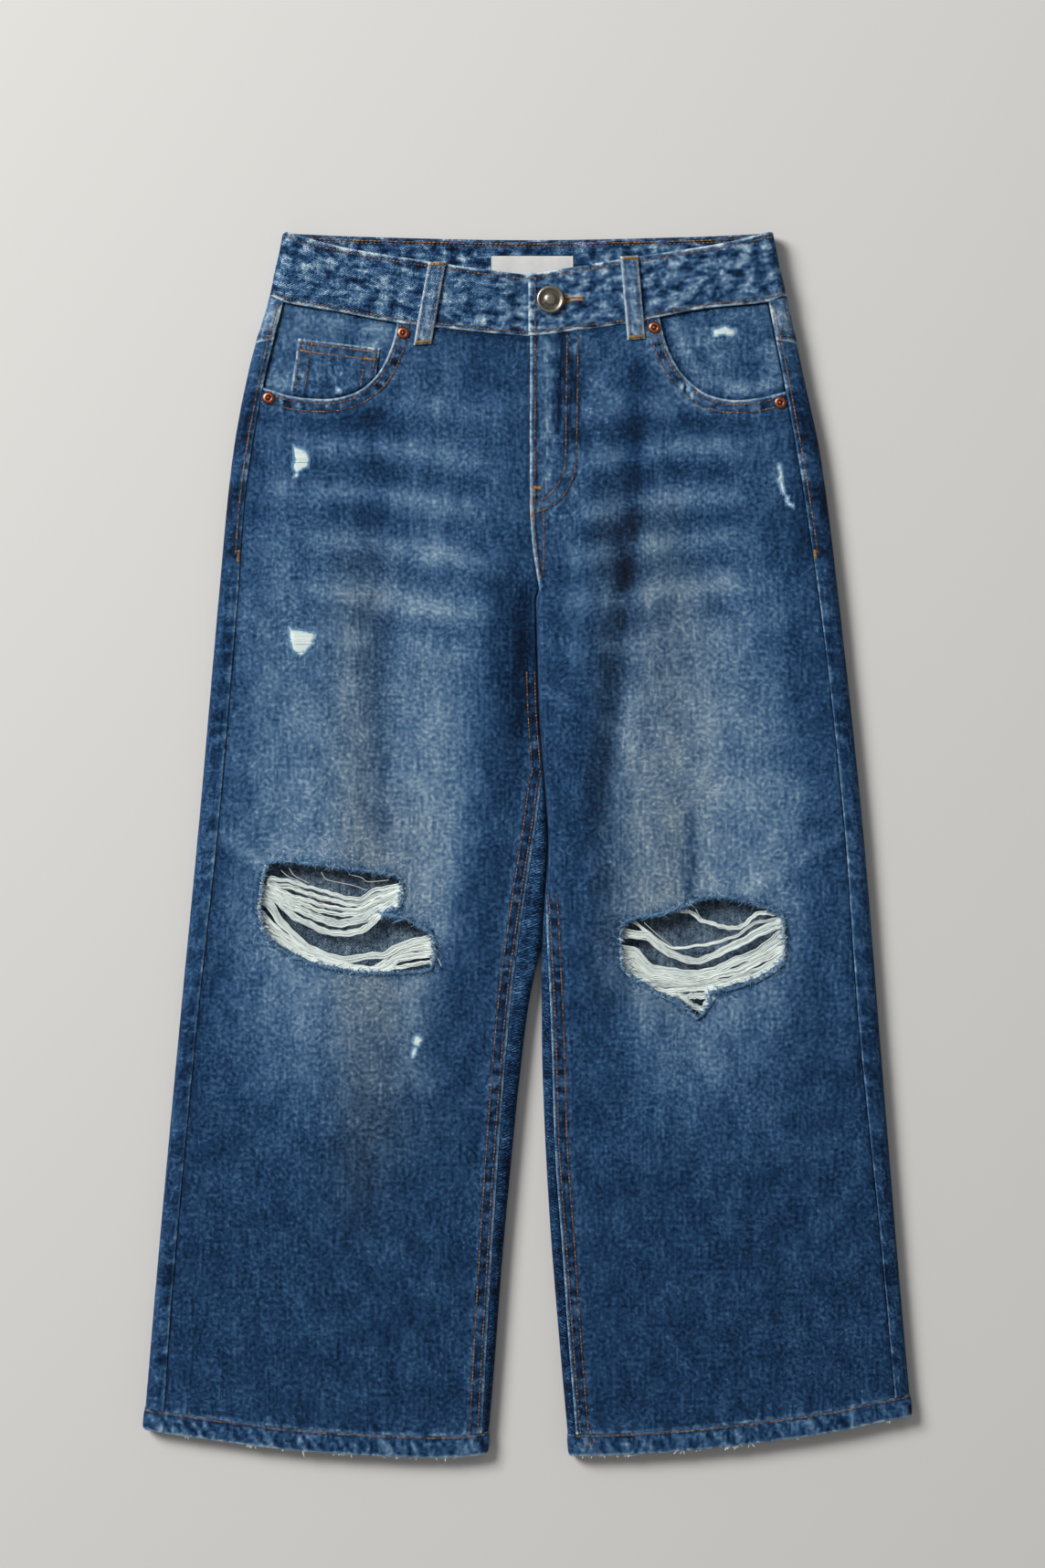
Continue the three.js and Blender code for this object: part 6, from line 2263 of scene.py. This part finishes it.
@dataclass
class Rip:
    """Bared weft threads of one rip and the frayed warp round its edge."""

    leg: Leg
    seed: int

    RINGS = 48
    PITCH = 0.43  # between the threads of a bundle
    SLACK = 2.3  # how deep a thread hangs
    LONE_RADIUS = 0.17
    LONE_TONE = 0.8

    def __post_init__(self) -> None:
        """Starts the draw and closes the outline."""
        self.draw = np.random.default_rng(self.seed)
        rip = RIPS[self.leg.name]
        self.outline = smooth_line([*rip, rip[0]], 1.0)

    def height(self, points: Array, depth: Array, over: float) -> Array:
        """Heights of a thread across the rip.

        Args:
            points: its plane points.
            depth: how far down it hangs in the rip.
            over: how far it lies above the cloth outside the rip.

        Returns:
            The height at each point.
        """
        inside = within(self.outline, points[:, 0], points[:, 1])
        away, _, _ = nearest(self.outline, points[:, 0], points[:, 1])
        off = np.where(inside, np.abs(away), -np.abs(away))
        top = self.leg.top(points[:, 0], points[:, 1])
        hang = -0.35 - (self.SLACK - 0.35 - 0.5 + depth) * ease(0, 6, off)
        return top + mix(over, hang, ease(-1.2, 1.6, off))

    def strands(self, material: Material) -> Object:
        """Makes the bared threads."""
        draw = self.draw
        paths, radii, tones = [], [], []
        share = np.linspace(0, 1, self.RINGS)
        for width, depth, corners in BUNDLES[self.leg.name]:
            line = smooth_line(corners, 0.5)
            tail = np.array([line[0] - line[3], line[-1] - line[-4]])
            tail /= np.linalg.norm(tail, axis=1)[:, None]
            count = max(int(round(width / self.PITCH)), 4)
            common = draw.uniform(0, 1, 2)
            for k in range(count):
                lead = draw.uniform(-0.2, 1.8, (2, 1)) * tail
                whole = np.vstack([line[0] + lead[0], line, line[-1] + lead[1]])
                middle = divided(whole, self.RINGS)
                off = (k + 0.5) / count - 0.5
                fan = 0.85 + 0.3 * (2 * share - 1) ** 2
                waves = draw.uniform(0, TURN, 3)
                sway = 0.13 * np.sin(TURN * 1.3 * share + waves[0])
                sway = sway + 0.1 * np.sin(TURN * 4.3 * share + waves[1])
                sway = sway + 0.4 * np.sin(TURN * (2.6 + 0.7 * common[0]) * share + 6 * common[1])
                sway = sway + 0.22 * np.sin(TURN * (5.2 + common[1]) * share + 6 * common[0])
                ripple = TURN * (9.5 + 3 * common[0]) * share + 6 * common[1] + 0.5 * off * width
                sway = sway + 0.24 * np.sin(ripple) + 0.1 * np.sin(1.7 * ripple + waves[2])
                plane = middle + sideways(middle) * (off * width * fan + sway)[:, None]
                over = draw.uniform(0.1, 0.35) if draw.uniform() < 0.6 else -0.5
                low = depth + 0.3 * np.sin(TURN * 0.8 * share + waves[2]) + draw.uniform(-0.2, 0.2)
                z = self.height(plane, low, over)
                paths.append(np.column_stack([plane, z]))
                size = draw.uniform(0.24, 0.34)
                radii.append(size * (1 + 0.15 * np.sin(TURN * 5 * share + waves[1])))
                tones.append(draw.uniform(0.2, 1.0) - 0.3 * (draw.uniform() < 0.12))
        for lift, corners in LONE_THREADS[self.leg.name]:
            plane = divided(smooth_line(corners, 0.5), self.RINGS)
            z = self.leg.top(plane[:, 0], plane[:, 1]) + lift
            paths.append(np.column_stack([plane, z]))
            radii.append(np.full(self.RINGS, self.LONE_RADIUS))
            tones.append(self.LONE_TONE)
        name = f"rip_threads_{self.leg.name}"
        return Tubes(4, self.RINGS).build(
            f"{name}_yarn", np.array(paths), straight_up(len(paths)), np.array(radii),
            np.array(tones), material, 0.9, Slot.WEFT, [name],
        )

    def fringe(self, blue: Material, white: Material) -> list[Object]:
        """Makes the frayed ends round the edge."""
        draw = self.draw
        edge = spaced(self.outline, 0.2)
        across = sideways(edge)
        probe = edge + 0.6 * across
        inwards = np.where(within(self.outline, probe[:, 0], probe[:, 1])[:, None], across, -across)
        upright = np.abs(inwards[:, 1])
        made = []
        for kind, material in (("blue", blue), ("white", white)):
            blue_kind = kind == "blue"
            chance = 0.45 + 0.55 * upright if blue_kind else 0.08 + 0.3 * (1 - upright)
            picked = np.flatnonzero(draw.uniform(size=len(edge)) < chance)
            count = len(picked)
            grain = np.zeros((count, 2))
            axis = 1 if blue_kind else 0
            grain[:, axis] = np.where(inwards[picked, axis] < 0, -1, 1)
            way = grain * draw.uniform(0.7, 1.2, (count, 1)) + 0.55 * inwards[picked]
            way = way + draw.normal(0, 0.5 if blue_kind else 0.33, (count, 2))
            way /= np.linalg.norm(way, axis=1)[:, None]
            length = draw.gamma(5.0, 0.3 if blue_kind else 0.32, count) + 0.8
            start = edge[picked] - way * (length * draw.uniform(0.25, 0.65, count))[:, None]
            start = start + draw.normal(0, 0.2, (count, 2))
            share = np.linspace(0, 1, 5)[None, :, None]
            curl = draw.normal(0, 1.0 if blue_kind else 0.45, (count, 1))
            bend = np.stack([-way[:, 1], way[:, 0]], 1) * curl
            plane = start[:, None] + way[:, None] * length[:, None, None] * share
            plane = plane + bend[:, None] * length[:, None, None] * share**2
            flat = plane.reshape(-1, 2)
            inside = within(self.outline, flat[:, 0], flat[:, 1])
            away = np.abs(nearest(self.outline, flat[:, 0], flat[:, 1])[0])
            off = np.where(inside, away, -away).reshape(count, 5)
            top = self.leg.top(flat[:, 0], flat[:, 1]).reshape(count, 5)
            lift = draw.uniform(0.05, 0.85, (count, 1)) * np.array([0.2, 0.6, 1, 1, 0.9])
            ridge = 0.5 * ease(7, 0, -np.minimum(off, 0))
            z = top + ridge + lift - draw.uniform(0.3, 1.6, (count, 1)) * ease(0.3, 3.5, off)
            thick = (0.24, 0.36) if blue_kind else (0.13, 0.2)
            radius = draw.uniform(*thick, (count, 1)) * np.array([1, 1, 1, 0.9, 0.6])
            made.append(Tubes(3, 5).build(
                f"rip_fringe_{kind}_{self.leg.name}", np.dstack([plane, z]), straight_up(count),
                radius, draw.uniform(0, 1, count), material, 1.0, Slot.WEFT,
            ))
        return made


class Fluff:
    """Broken threads at the worn spots, made one piece a colour."""

    RINGS = 6
    TAPER = (0.6, 1, 1, 1, 1, 0.6)
    PITCH = 0.44  # between the bared threads of a spot

    def __init__(self, seed: int) -> None:
        """Starts the draw."""
        self.draw = np.random.default_rng(seed)
        self.paths: dict[str, list[Array]] = {"white": [], "blue": []}

    def scuff(self, drape: Drape, spot: Scuff) -> None:
        """Fills a worn spot with its bared weft and frays its edge.

        Args:
            drape: the cloth.
            spot: where and its outline.
        """
        draw = self.draw
        outline = spot.outline()
        sides = list(zip(outline[:-1], outline[1:]))
        for y in np.arange(outline[:, 1].min() + 0.15, outline[:, 1].max(), self.PITCH):
            cuts = sorted(
                a[0] + (y - a[1]) * (b[0] - a[0]) / (b[1] - a[1])
                for a, b in sides if (a[1] > y) != (b[1] > y)
            )
            for low, high in zip(cuts[::2], cuts[1::2]):
                low, high = low - draw.uniform(0, 0.7), high + draw.uniform(0, 0.7)
                x = np.linspace(low, high, self.RINGS)
                bow = draw.normal(0, 0.09) * (1 - np.linspace(-1, 1, self.RINGS) ** 2)
                line = np.stack([x, y + draw.normal(0, 0.05) + bow], 1)
                self.add(drape, line, "white", 0.12)
        edge = spaced(outline, 0.22)
        for x, y in edge:
            reach = draw.uniform(0.5, 1.6)
            turn = draw.normal(math.pi / 2, 0.5)
            way = np.array([math.cos(turn), math.sin(turn)]) * reach
            middle = np.array([x, y]) + draw.normal(0, 0.35, 2)
            line = middle + np.linspace(-1, 1, self.RINGS)[:, None] * way
            self.add(drape, line, "blue", 0.25)

    def frayed_hem(self, leg: Leg) -> None:
        """Frays the bottom edge of a leg here and there."""
        draw = self.draw
        fall = np.linspace(0, 1, self.RINGS)
        for share in np.repeat(draw.uniform(0.03, 0.97, 15), 5):
            x = float(mix(leg.inner(-372), leg.outer(-372), share)) + draw.normal(0, 1.6)
            y, length = float(leg.hem(x)) + 0.5, draw.gamma(4.0, 0.32)
            z = float(leg.top(x, y + 1)) - draw.uniform(0.7, 1.1)
            drift = draw.normal(0, 0.6) * fall + draw.normal(0, 0.5) * fall**2
            self.paths["white"].append(np.stack([x + drift, y - length * fall, z - 0.4 * fall], 1))

    def add(self, drape: Drape, line: Array, colour: str, lift: float) -> None:
        """Adds one thread that lies on the cloth and rises by lift in its middle."""
        points, _ = drape.on(line)
        if np.isfinite(points).all():
            rise = np.sin(np.linspace(0, math.pi, len(line)))
            points[:, 2] += 0.08 + lift * rise
            self.paths[colour].append(points)

    def build(self, materials: dict[str, Material]) -> list[Object]:
        """Makes the pieces."""
        made = []
        for colour, paths in self.paths.items():
            size, dim = (0.33, 0.0) if colour == "white" else (0.22, 0.4)
            radii = size * self.draw.uniform(0.8, 1.2, (len(paths), 1)) * np.array(self.TAPER)
            tones = dim + self.draw.uniform(0, 0.6, len(paths))
            made.append(Tubes(4, self.RINGS).build(
                f"worn_threads_{colour}", np.array(paths), straight_up(len(paths)), radii, tones,
                materials[colour], 1.0, Slot.WEFT,
            ))
        return made


# ---- Seams ---------------------------------------------------------------------------------------


def on_surface(shape: Shape, a: Array, b: Array, da: float, db: float) -> tuple[Array, Array]:
    """Points and outward ways on a grid surface.

    Args:
        shape: the surface.
        a: column places.
        b: row places.
        da: small step between columns.
        db: small step between rows.

    Returns:
        The points and the ways that the surface faces.
    """
    points = shape(a, b)[0]
    along = shape(a + da, b)[0] - shape(a - da, b)[0]
    up = shape(a, b + db)[0] - shape(a, b - db)[0]
    faces = np.cross(along, up)
    faces /= np.maximum(np.linalg.norm(faces, axis=1), 1e-9)[:, None]
    return points, np.where(faces[:, 2:] < -0.2, -faces, faces)


@dataclass
class Seams:
    """All the stitching, in a brown and a mustard thread."""

    drape: Drape
    under: Drape
    brown: Stitches
    mustard: Stitches

    def inseams(self, fronts: Sequence[Front]) -> None:
        """Sews the two rows beside each inseam."""
        for front in fronts:
            rows = np.linspace(-361.5, 108 if front.leg.sign < 0 else -30, 400)
            total = front.leg.front(np.zeros(400), rows)[2]
            for off in STITCH_ROWS:
                points, faces = on_surface(front.shape, off / total, rows, 0.002, 0.4)
                self.brown.path(points, faces)

    def mouths(self) -> None:
        """Sews the two rows along each pocket mouth."""
        for leg in LEGS:
            line = MOUTHS[leg.name]
            for off in STITCH_ROWS:
                row = line - leg.sign * off * sideways(line)
                keep = (row[:, 1] < BAND_BOTTOM_FRONT(row[:, 0]) - 0.6) & (
                    leg.sign * row[:, 0] < leg.sign * leg.outseam(row[:, 1]) - 0.8
                )
                self.brown.row(self.drape, row[keep])

    def sides(self) -> None:
        """Sews beside the outseams at the hips, the yoke seams and the bars below them."""
        for leg in LEGS:
            y = np.linspace(181, 336, 160)
            x = leg.outseam(y) + leg.sign * 3.2
            self.brown.row(self.drape, np.stack([x, y], 1))
            for off in STITCH_ROWS:
                x = np.linspace(float(leg.outseam(315)) + leg.sign * 0.8,
                                float(leg.outer(315)) - leg.sign * 0.8, 12)
                y = 313 + off + 0 * x
                self.brown.row(self.drape, np.stack([x, y], 1))
            x = float(leg.outseam(180))
            self.mustard.tack(self.drape, (x + leg.sign * 1.2, 183), (x + leg.sign * 1.6, 176), 2.2)

    def fly(self) -> None:
        """Sews the fly and the centre seam below it."""
        for line in (FLY_OUTER, FLY_INNER):
            self.brown.row(self.drape, line[line[:, 1] < 317])
        y = np.linspace(315, 209, 60)
        self.brown.row(self.drape, np.stack([CENTRE_FRONT(y) + 3.4, y], 1))
        for corners in (
            ((4.4, 221), (4.0, 208), (4.6, 195), (6.0, 180), (8.2, 165)),
            ((9.8, 209), (10.2, 196), (10.2, 182), (9.4, 168)),
        ):
            self.brown.row(self.drape, smooth_line(corners))
        self.mustard.tack(self.drape, (2.6, 222), (8.6, 221.4), 2.2)
        self.mustard.tack(self.drape, (2.2, 216), (2.4, 210), 2.4)
        self.mustard.tack(self.drape, (2.2, 207.5), (3.0, 203), 2.0)

    def hems(self, hems: Sequence[Hem]) -> None:
        """Sews the hems and leaves a thread end at the left one."""
        for hem in hems:
            points, faces = hem.stitched()
            self.brown.path(points, faces, StitchSize(2.7, 0.4, 0.34, 0.1))
        tail = StitchSize(1.7, 0.02, 0.3, 0.25)
        for corners in (
            ((40.5, -370.2), (37.6, -371.6), (35.4, -373.8)),
            ((40.6, -370), (38.6, -373), (38.8, -374.6)),
            ((41, -369.8), (41.6, -372.2), (40.4, -373.4)),
        ):
            self.brown.row(self.drape, smooth_line(corners, 0.5), tail)

    def band(self, band: Waistband) -> None:
        """Sews the waistband, its buttonhole and the row inside its back."""
        for off in (band.DEPTH - 3.0, 2.3):
            points, faces = band.line(off, 0.012, 4.93)
            self.brown.path(points, faces)
        points, faces = band.inner_line(band.DEPTH - 2.6)
        self.mustard.path(points, faces, StitchSize(2.4, 0.2, 0.32))
        points, faces = band.inner_line(band.DEPTH - 4.0)
        self.mustard.path(points, faces, StitchSize(1.5, 1.1, 0.22))
        y = np.linspace(BAND_BOTTOM_FRONT(4.6) + 2, BAND_TOP_FRONT(4.6) - 2.5, 20)
        self.brown.row(self.drape, np.stack([0 * y + 4.8, y], 1))
        for turn in np.linspace(0.35, TURN - 0.35, 26):
            way = np.array([math.cos(turn), math.sin(turn)])
            near, far = BUTTONHOLE_EYE + way * 1.2, BUTTONHOLE_EYE + way * 3.0
            self.mustard.tack(self.drape, near, far, 0.5)
        for side in (-1.25, 1.25):
            self.mustard.tack(self.drape, (25.2, 338.2 + side), (34, 338.9 + 0.6 * side), 1.1)
        self.mustard.tack(self.drape, (34.2, 337.6), (34.6, 340.4), 1.2)

    def loops(self, loops: Sequence[Loop]) -> None:
        """Sews the front belt loops."""
        for loop in loops:
            length = math.dist(loop.top, loop.bottom)
            rows = np.linspace(1.5, length - 1.5, 60)
            for side in (2.2, LOOP_WIDTH - 2.2):
                points, faces = on_surface(loop.shape, 0 * rows + side, rows, 0.4, 0.6)
                self.brown.path(points, faces, StitchSize(2.3, 0.5, 0.25))
            for off in (1.6, length - 1.6):
                across = np.linspace(1.2, LOOP_WIDTH - 1.2, 22)
                points, faces = on_surface(loop.shape, across, 0 * across + off, 0.4, 0.5)
                for place, face in zip(points, faces):
                    up = np.array([0.12, 1.0, 0.0])
                    ends = np.vstack([place - up, place + up])
                    self.mustard.keep(ends[:1], ends[1:], face[None], TACK)

    def coin(self, pocket: CoinPocket) -> None:
        """Sews the coin pocket."""
        x = np.linspace(-141, -93.5, 60)
        for off in (2.4, 7.6):
            self.mustard.row(self.drape, np.stack([x, pocket.TOP(x) - off], 1))
        for edge, way in ((pocket.LEFT_EDGE, 1), (pocket.RIGHT_EDGE, -1)):
            for off in (2.4, 8.6):
                y = np.linspace(float(pocket.TOP(edge(310))) - 1.5, 283, 30)
                line = np.stack([edge(y) + way * off, y], 1)
                line = line[line[:, 1] > pocket.floor(line[:, 0]) + 1]
                self.brown.row(self.drape, line)
        self.mustard.tack(self.drape, (-141.4, 307), (-136.5, 306.2), 1.6)
        self.mustard.tack(self.drape, (-101, 302), (-94.5, 301), 1.6)

    def underneath(self, pockets: Sequence[PatchPocket], backs: Sequence[Back]) -> None:
        """Sews the seat: pockets, yokes and the seams between the halves."""
        for pocket in pockets:
            for inset in STITCH_ROWS:
                self.brown.row(self.under, pocket.outline(inset))
            x = np.linspace(pocket.x - pocket.half + 1, pocket.x + pocket.half - 1, 60)
            for off in (2.0, 11.0):
                self.brown.row(self.under, np.stack([x, 0 * x + pocket.y + pocket.top - off], 1))
            for side in (-1, 1):
                corner = pocket.x + side * (pocket.half - 1.5)
                top = pocket.y + pocket.top
                self.mustard.tack(self.under, (corner, top - 1), (corner, top - 8), 2.2)
        for back in backs:
            q = np.linspace(2.05, 3.9, 200)
            for v in (0.055, 0.3):
                points, _, _ = back.yoke_shape(q, 0 * q + v)
                self.brown.row(self.under, points[:, :2])
        y = np.linspace(166, 336, 120)
        for off in (1.6, 7.6):
            self.brown.row(self.under, np.stack([CENTRE_BACK(y) + off, y], 1))


# ---- Metal ---------------------------------------------------------------------------------------


@dataclass
class Turned:
    """Piece spun from a profile of (radius, height) points."""

    name: str
    profile: Sequence[tuple[float, float]]
    at: tuple[float, float]
    base: float
    steps: int

    def mesh(self) -> Mesh:
        """Spins the profile and closes it."""
        work = bmesh.new()
        verts = [work.verts.new((r * MM, 0, z * MM)) for r, z in self.profile]
        edges = [work.edges.new(pair) for pair in zip(verts, verts[1:])]
        bmesh.ops.spin(
            work, geom=verts + edges, cent=(0, 0, 0), axis=(0, 0, 1), angle=TURN, steps=self.steps,
            use_merge=True,
        )
        bmesh.ops.remove_doubles(work, verts=work.verts, dist=0.001 * MM)
        bmesh.ops.recalc_face_normals(work, faces=work.faces)
        return written(work, bpy.data.meshes.new(self.name))

    def place(self, mesh: Mesh) -> Array:
        """Moves the mesh to its place.

        Args:
            mesh: the mesh round the origin.

        Returns:
            Its points before the move, in millimetres.
        """
        local = points_of(mesh) / MM
        move_points(mesh, local + np.array([*self.at, self.base]))
        return local

    def build(
        self, mesh: Mesh, shade: Callable[[Array, Array], Array], material: Material, slot: Slot,
        node: str,
    ) -> Object:
        """Puts the mesh in its place as a piece.

        Args:
            mesh: the mesh round the origin.
            shade: tone from the radius and the height.
            material: its finish.
            slot: the record's material slot.
            node: the CAD node that it stands for.

        Returns:
            The piece.
        """
        local = self.place(mesh)
        paint(mesh, "tone", shade(np.hypot(local[:, 0], local[:, 1]), local[:, 2]))
        mesh.shade_smooth()
        mesh.materials.append(material)
        return add_object(self.name, mesh, slot, [node])


class Button:
    """Shank button with a plain dotted ring."""

    PROFILE = (
        (0, 0), (6.8, 0), (7.9, 0.25), (8.45, 0.8), (8.5, 1.5), (8.5, 2.5), (8.3, 3.0), (7.9, 3.25),
        (7.4, 3.3), (6.9, 3.2), (6.55, 2.9), (6.3, 2.62), (5.8, 2.5), (5.0, 2.52), (4.2, 2.52),
        (3.6, 2.6), (3.3, 2.85), (3.0, 3.15), (2.5, 3.32), (1.6, 3.4), (0, 3.42),
    )

    DOTS = 24
    DOT_RADIUS = 0.36
    RING_RADIUS = 4.9
    RING_HEIGHT = 2.62

    @staticmethod
    def shade(radius: Array, height: Array) -> Array:
        """Tone, brightest where it is rubbed."""
        return 0.35 + 0.45 * ease(2.55, 3.3, height) + 0.1 * hill(8.2, 0.5, radius)

    def build(self, material: Material) -> Object:
        """Makes the button."""
        turned = Turned(
            "button_metal_piece", self.PROFILE, BUTTON_AT, BAND_TOP + GAP, steps=64
        )
        mesh = turned.mesh()
        work = edit(mesh)
        for k in range(self.DOTS):
            turn = TURN * k / self.DOTS
            size = self.DOT_RADIUS * MM
            dot = bmesh.ops.create_icosphere(work, subdivisions=2, radius=size)["verts"]
            bmesh.ops.scale(work, verts=dot, vec=(1, 1, 0.7))
            x, y = self.RING_RADIUS * math.cos(turn), self.RING_RADIUS * math.sin(turn)
            bmesh.ops.translate(work, verts=dot, vec=Vector((x, y, self.RING_HEIGHT)) * MM)
        return turned.build(written(work, mesh), self.shade, material, Slot.STEEL, "button")


class Rivet:
    """Copper rivet with a nipple."""

    PROFILE = (
        (0, 0), (3.0, 0), (3.65, 0.1), (3.8, 0.35), (3.72, 0.6), (3.4, 0.85), (2.9, 1.05),
        (2.4, 1.18), (1.95, 1.2), (1.7, 1.12), (1.55, 0.95), (1.45, 0.7), (1.3, 0.62), (1.1, 0.72),
        (0.9, 1.0), (0.6, 1.2), (0.3, 1.28), (0, 1.3),
    )

    @staticmethod
    def shade(radius: Array, _: Array) -> Array:
        """Tone, darkest in the groove round the nipple."""
        return 0.3 + 0.5 * hill(2.2, 0.9, radius) - 0.3 * hill(1.4, 0.35, radius)

    def build(self, i: int, material: Material) -> Object:
        """Makes rivet number i."""
        x, y = RIVETS[i]
        leg = RIGHT if x < 0 else LEFT
        base = float(leg.top(np.array(x), np.array(y))) + 0.75
        node = f"rivet_{i + 1}"
        turned = Turned(f"{node}_copper", self.PROFILE, (x, y), base, steps=36)
        return turned.build(turned.mesh(), self.shade, material, Slot.COPPER, node)


# ---- Floor, lights and camera --------------------------------------------------------------------


@dataclass
class Studio:
    """Pale floor, one soft window-like light, fill, and a camera straight above."""

    middle: tuple[float, float] = (-0.0031, 0.0377)  # what the camera looks at, in metres
    height: float = 2.2  # of the camera, in metres
    lens: float = 80.9
    stitch_depth: float = 0.0005  # the floor lies lower, clear of the stitches underneath
    floor_half: float = 3.0

    def build(self) -> None:
        """Makes the floor, the lights and the camera."""
        work = bmesh.new()
        below = Matrix.Translation((0, 0, -self.stitch_depth))
        bmesh.ops.create_grid(work, x_segments=2, y_segments=2, size=self.floor_half, matrix=below)
        mesh = written(work, bpy.data.meshes.new("floor"))
        mesh.materials.append(Paper("floor_paper", (221, 220, 218)).material())
        floor = bpy.data.objects.new("floor", mesh)
        bpy.context.scene.collection.objects.link(floor)
        self.light(
            "window", way=(-0.80, 0.60, 0.80), far=4.4, size=1.72, power=210.0,
            colour=(255, 253, 250),
        )
        world = bpy.data.worlds.new("room")
        world.use_nodes = True
        background = world.node_tree.nodes["Background"]
        background.inputs["Color"].default_value = linear((250, 249, 248))
        background.inputs["Strength"].default_value = 0.24
        bpy.context.scene.world = world
        data = bpy.data.cameras.new("camera")
        data.lens = self.lens
        data.sensor_width = 36
        data.sensor_fit = "AUTO"
        data.clip_end = 20
        camera = bpy.data.objects.new("camera", data)
        camera.location = (*self.middle, self.height)
        bpy.context.scene.collection.objects.link(camera)
        bpy.context.scene.camera = camera
        bpy.context.scene.view_settings.view_transform = "Standard"

    def light(
        self, name: str, way: Sequence[float], far: float, size: float, power: float,
        colour: Sequence[int],
    ) -> None:
        """Hangs a square soft light that faces the jeans.

        Args:
            name: its name.
            way: direction from the jeans.
            far: distance in metres.
            size: side in metres.
            power: watts.
            colour: display colour.
        """
        data = bpy.data.lights.new(name, "AREA")
        data.shape = "SQUARE"
        data.size = size
        data.energy = power
        data.color = linear(colour)[:3]
        lamp = bpy.data.objects.new(name, data)
        towards = Vector(way).normalized()
        lamp.location = Vector((*self.middle, 0)) + towards * far
        lamp.rotation_euler = towards.to_track_quat("Z", "Y").to_euler()
        bpy.context.scene.collection.objects.link(lamp)


def main() -> None:
    """Builds the jeans in order, then the studio."""
    logging.basicConfig(level=logging.INFO, format="%(name)s: %(message)s")
    denim = Denim("denim_face").material()
    lining = Denim("denim_wrong_side", WRONG_SIDE, 0.1).material()
    Ply.cut_edge = Denim("denim_edge", solid=True).material()
    brown = Yarn("topstitch_brown", (58, 42, 30), (170, 130, 88)).material()
    mustard = Yarn("topstitch_mustard", (92, 62, 30), (196, 146, 78)).material()
    weft = Yarn("weft_white", (206, 224, 222), (250, 255, 252)).material()
    warp = Yarn("warp_blue", (18, 62, 112), (122, 172, 210)).material()
    steel = Metal("button_steel", (52, 47, 42), (176, 170, 158), 0.36).material()
    copper = Metal("rivet_copper", (66, 32, 24), (206, 128, 100), 0.36).material()
    ribbon = Ribbon("label_ribbon", (190, 191, 190), (226, 227, 226), 0.5).material()
    tape = Ribbon("zip_ribbon", (34, 42, 58), (78, 90, 110), 0.7).material()

    fronts = [Front(leg) for leg in LEGS]
    backs = [Back(leg) for leg in LEGS]
    hems = [Hem(leg) for leg in LEGS]
    band = Waistband()
    loops = [
        Loop("belt_loop_front_right", RIGHT, (-55.9, 361.5), (-65.2, 310.4)),
        Loop("belt_loop_front_left", LEFT, (63, 365), (67.5, 313.6)),
    ]
    facings = [Facing(RIGHT, -64), Facing(LEFT, 66)]
    pockets = [PatchPocket("back_pocket_right", -80, 212), PatchPocket("back_pocket_left", 86, 212)]
    coin = CoinPocket()

    front_pieces = [front.build(denim, lining) for front in fronts]
    back_pieces = [piece for back in backs for piece in back.build(denim, lining)]
    hem_pieces = [hem.build(denim, lining) for hem in hems]
    band_piece = band.build(denim, denim)
    loop_pieces = [loop.build(denim) for loop in loops]
    facing_pieces = [facing.build(denim, lining) for facing in facings]
    pocket_pieces = [pocket.build(denim, lining) for pocket in pockets]
    coin_piece = coin.build(denim)
    for name, x in (("centre", 3), ("right", -98), ("left", 104)):
        RearLoop(f"belt_loop_back_{name}", x).build(denim)
    zip_tape = FlyLayer("zip", -11, 14, low=212, drop=GAP, thickness=TAPE, ridge=0.35)
    zip_tape.build(Slot.ZIP, tape, tape)
    shield = FlyLayer("fly_shield", -2, 32, low=207, drop=2 * GAP + TAPE, thickness=CLOTH)
    shield.build(Slot.DENIM, denim, lining)
    Label().build(ribbon)

    on_top = Drape(
        [*front_pieces, *back_pieces, *hem_pieces, band_piece, *loop_pieces, *facing_pieces,
         coin_piece]
    )
    beneath = Drape([*back_pieces, *pocket_pieces, band_piece], below=True)
    seams = Seams(
        on_top, beneath, Stitches("topstitching_brown", brown, 81),
        Stitches("topstitching_mustard", mustard, 82),
    )
    seams.inseams(fronts)
    seams.mouths()
    seams.sides()
    seams.fly()
    seams.hems(hems)
    seams.band(band)
    seams.loops(loops)
    seams.coin(coin)
    seams.underneath(pockets, backs)
    seams.brown.build()
    seams.mustard.build()

    for leg, seed in zip(LEGS, (91, 92)):
        rip = Rip(leg, seed)
        rip.strands(weft)
        rip.fringe(warp, weft)
    fluff = Fluff(93)
    for spots in SCUFFS.values():
        for spot in spots:
            fluff.scuff(on_top, spot)
    for leg in LEGS:
        fluff.frayed_hem(leg)
    fluff.build({"white": weft, "blue": warp})

    Button().build(steel)
    for i in range(len(RIVETS)):
        Rivet().build(i, copper)
    Studio().build()


if __name__ == "__main__":
    main()
